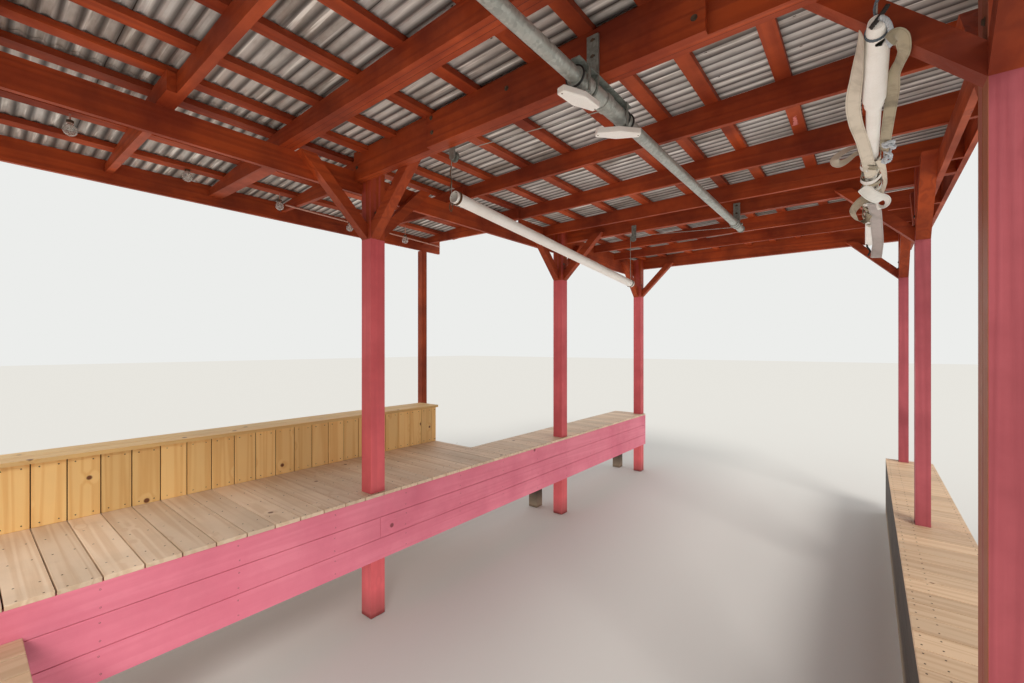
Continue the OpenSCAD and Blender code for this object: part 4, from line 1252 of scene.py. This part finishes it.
def strap(name, path, normals, width, material):
    """A ribbon along a path, its face towards the normals."""
    points, faces, marks = [], [], [0.0]
    for number, (here, normal) in enumerate(zip(path, normals)):
        ahead = heading(path, number)
        side = normal.cross(ahead).normalized()
        out = ahead.cross(side).normalized()
        if number:
            marks.append(marks[-1] + (here - path[number - 1]).length)
        sag = chance.uniform(-WEB_SAG, WEB_SAG)
        for cell in range(CELLS + 1):
            share = cell / CELLS * 2 - 1
            points.append(here + side * share * width / 2 + out * (0.002 * share * share + sag * share))
    for row in range(len(path) - 1):
        for cell in range(CELLS):
            first = row * (CELLS + 1) + cell
            faces.append((first, first + 1, first + CELLS + 2, first + CELLS + 1))
    mesh = bpy.data.meshes.new(name)
    mesh.from_pydata(points, [], faces)
    flow = mesh.uv_layers.new(name="along")
    for loop in mesh.loops:
        row, cell = divmod(loop.vertex_index, CELLS + 1)
        flow.data[loop.index].uv = (marks[row], cell / CELLS)
    piece = new_object(name, mesh)
    reshape(piece, "SOLIDIFY", thickness=WEB_T, offset=0)
    reshape(piece, "SUBSURF", levels=1)
    bpy.ops.object.shade_smooth()
    carry(piece, material, "frame", "sling_webbing", "sling_bundle")


print("a strap is", CELLS, "cells wide and", WEB_T, "m thick")


# %% Straps that are seen, and straps that are wound
def seen_strap(name, width, stations, material):
    """A strap through stations: pixel across, pixel down, distance along the slip, and twist in degrees."""
    path = smooth_path([sight(*station[:3]) for station in stations], 6)
    twists = smooth_path([(station[3], 0, 0) for station in stations], 6)
    normals = []
    for number, here in enumerate(path):
        ahead = heading(path, number)
        ray = (EYE - here).normalized()
        level = (ray - ahead * ray.dot(ahead)).normalized()
        normals.append(Matrix.Rotation(math.radians(twists[number].x), 3, ahead) @ level)
    strap(name, path, normals, width, material)


def wound_strap(name, width, share, radius, turns, pitch, phase, material, mirrored=False):
    """A strap wound round the lake-side tube, one way or the other."""
    path = wound(LAKE_TUBE, share, radius, turns, pitch, phase)
    ahead, up, side = directions(LAKE_TUBE)
    if mirrored:
        middle = on_line(LAKE_TUBE, share)
        path = [here - side * 2 * (here - middle).dot(side) for here in path]
    outward = [here - LAKE_END - ahead * (here - LAKE_END).dot(ahead) for here in path]
    strap(name, path, [out.normalized() for out in outward], width, material)


print("the sling hangs on", tubes.name)

# %% [markdown]
# Webbing shows fine ribs across it and a line of stitching near each edge, and old webbing
# is patchy with algae. The ribs and the stitching read the strap's own UV map.


# %% Webbing
RIB_PITCH = 0.004


def webbing(name, clean, stained, share=0.5):
    """Worn webbing: ribs and edge stitching from the UV map, stains from a noise in place."""
    material, tree, face = shader(name)
    run = add(tree, "SeparateXYZ", {0: add(tree, "TexCoord").outputs["UV"]})
    ribs = calc(tree, "SINE", calc(tree, "MULTIPLY", run.outputs["X"], 2 * math.pi / RIB_PITCH))
    out = calc(tree, "ABSOLUTE", calc(tree, "SUBTRACT", run.outputs["Y"], 0.5))
    sewn = calc(tree, "MULTIPLY", calc(tree, "COMPARE", out, 0.38, 0.022), 0.35)
    soil = use(tree, dirt, {"Patch size": 9.0, "Patches": share, "Wet height": 0.0})
    fresh = blend(tree, soil["Dirt"], colour(*clean), colour(*stained))
    fill(tree, face, {"Base Color": blend(tree, sewn, fresh, colour(*stained)), "Roughness": 0.85,
                      "Sheen Weight": 0.2, "Normal": bumps(tree, ribs, 0.35, 0.0006)})
    return material


cream = webbing("cream webbing", (218, 208, 190), (150, 138, 116), 0.6)
# The olive strap's darker tan is partly its own colour and partly painted shade; wound between the cream
# turns it stands for the shade between them.
olive = webbing("olive webbing and painted shade", (170, 158, 132), (92, 84, 66), 0.9)
pale_web = webbing("white webbing", (236, 234, 228), (176, 176, 172))
grey_web = webbing("grey webbing", (178, 168, 164), (120, 112, 106))
print("four kinds of webbing")

# %% The sling's straps
seen_strap("strap_shore_side", 0.060, [
    (862, 33, 2.15, 75), (861, 50, 2.22, 65), (857, 78, 2.42, 35), (853, 104, 2.65, 5),
    (856, 124, 2.88, 10), (862, 140, 3.06, 20), (867, 158, 3.28, 5), (871, 176, 3.58, 0)], cream)
seen_strap("strap_lake_side", 0.050, [
    (889, 42, 2.12, 20), (895, 35, 2.14, 15), (902, 38, 2.20, 20), (904, 50, 2.28, 30), (900, 62, 2.38, 40),
    (894, 76, 2.50, 20), (893, 92, 2.64, 10), (890, 110, 2.80, 5), (887, 130, 3.00, 10),
    (885, 145, 3.20, 25), (884, 153, 3.30, 60)], olive)
seen_strap("strap_loop", 0.045, [
    (864, 146, 3.24, 55), (853, 148, 3.22, 60), (842, 153, 3.21, 50), (834, 160, 3.20, 30),
    (839, 164, 3.21, -20), (848, 160, 3.23, -50), (856, 154, 3.24, -60), (865, 151, 3.25, -60)], cream)
WOUND_FROM = 1.250 / LAKE_LONG
wound_strap("strap_turns_1", 0.060, WOUND_FROM, 0.038, 8.5, 0.175, 0.6, cream)
# Olive turns between the cream ones, as painted shade between them.
wound_strap("strap_turns_2", 0.050, WOUND_FROM + 0.01, 0.048, 4.5, 0.30, 2.0, olive, True)
wound_strap("strap_turns_3", 0.055, WOUND_FROM + 0.03, 0.056, 3.6, 0.24, 3.6, pale_web)
seen_strap("strap_fold", 0.075, [
    (863, 187, 3.76, 0), (870, 194, 3.83, 10), (878, 198, 3.90, 15), (885, 200, 3.96, 45),
    (884, 205, 4.03, 95), (876, 206, 4.06, 150)], pale_web)
seen_strap("strap_side_fold", 0.042, [
    (880, 160, 3.33, 20), (884, 173, 3.52, 50), (885, 184, 3.74, 60), (881, 193, 3.92, 30)], cream)
seen_strap("strap_shore_loop", 0.060, [
    (867, 197, 4.00, 10), (858, 204, 4.12, 20), (853, 212, 4.28, 45), (857, 220, 4.42, 80),
    (864, 221, 4.46, 120), (869, 214, 4.36, 160)], olive)
seen_strap("strap_tail", 0.080, [
    (874, 204, 4.12, 25), (876, 216, 4.42, 20), (877, 230, 4.72, 10), (878, 242, 4.92, 15),
    (877, 251, 5.00, 5), (876, 258, 5.02, -6)], grey_web)
print("straps: 10")

# %% [markdown]
# The straps' ends are lashed with a white rope in two lumpy knots. A knot is a rope whose
# line passes over and under itself three times, as an overhand knot drawn tight does.


# %% Knots
def knot_path(place, size, turn):
    """Points of a closed overhand knot round a place."""
    points = []
    for step in range(25):
        a = step / 24 * 2 * math.pi
        loose = Vector((math.sin(a) + 2 * math.sin(2 * a), math.cos(a) - 2 * math.cos(2 * a),
                        -math.sin(3 * a)))
        points.append(place + Matrix.Rotation(turn, 3, "Y") @ loose * size / 3)
    return points


def seen_rope(radius, *stations):
    """A rope through places seen at pixels, each with its distance along the slip."""
    return rope([sight(*station) for station in stations], radius)


knots = [rope(knot_path(sight(889, 144, 3.16), 0.034, 0.6), 0.008),
         rope(knot_path(sight(888, 155, 3.30), 0.036, 1.5), 0.008),
         seen_rope(0.006, (884, 158, 3.30), (882, 162, 3.32), (886, 163, 3.36), (884, 161, 3.40)),
         seen_rope(0.009, (880, 17, 2.08), (886, 20, 2.09), (890, 27, 2.12), (891, 35, 2.15),
                   (890, 44, 2.20)),
         seen_rope(0.007, (885, 24, 2.13), (890, 30, 2.14), (888, 40, 2.16), (891, 46, 2.20))]
carry(join("sling_knots", knots), rope_white, "frame", "sling_webbing")
dark_ends = [seen_rope(0.008, (871, 28, 2.08), (878, 19, 2.09), (884, 11, 2.10), (888, 5, 2.11)),
             seen_rope(0.008, (868, 238, 5.54), (867, 246, 5.57), (870, 251, 5.58), (868, 256, 5.58))]
carry(join("dark_ties", dark_ends), black_iron, "frame", "sling_webbing")
print("knots and ties:", len(knots) + len(dark_ends))
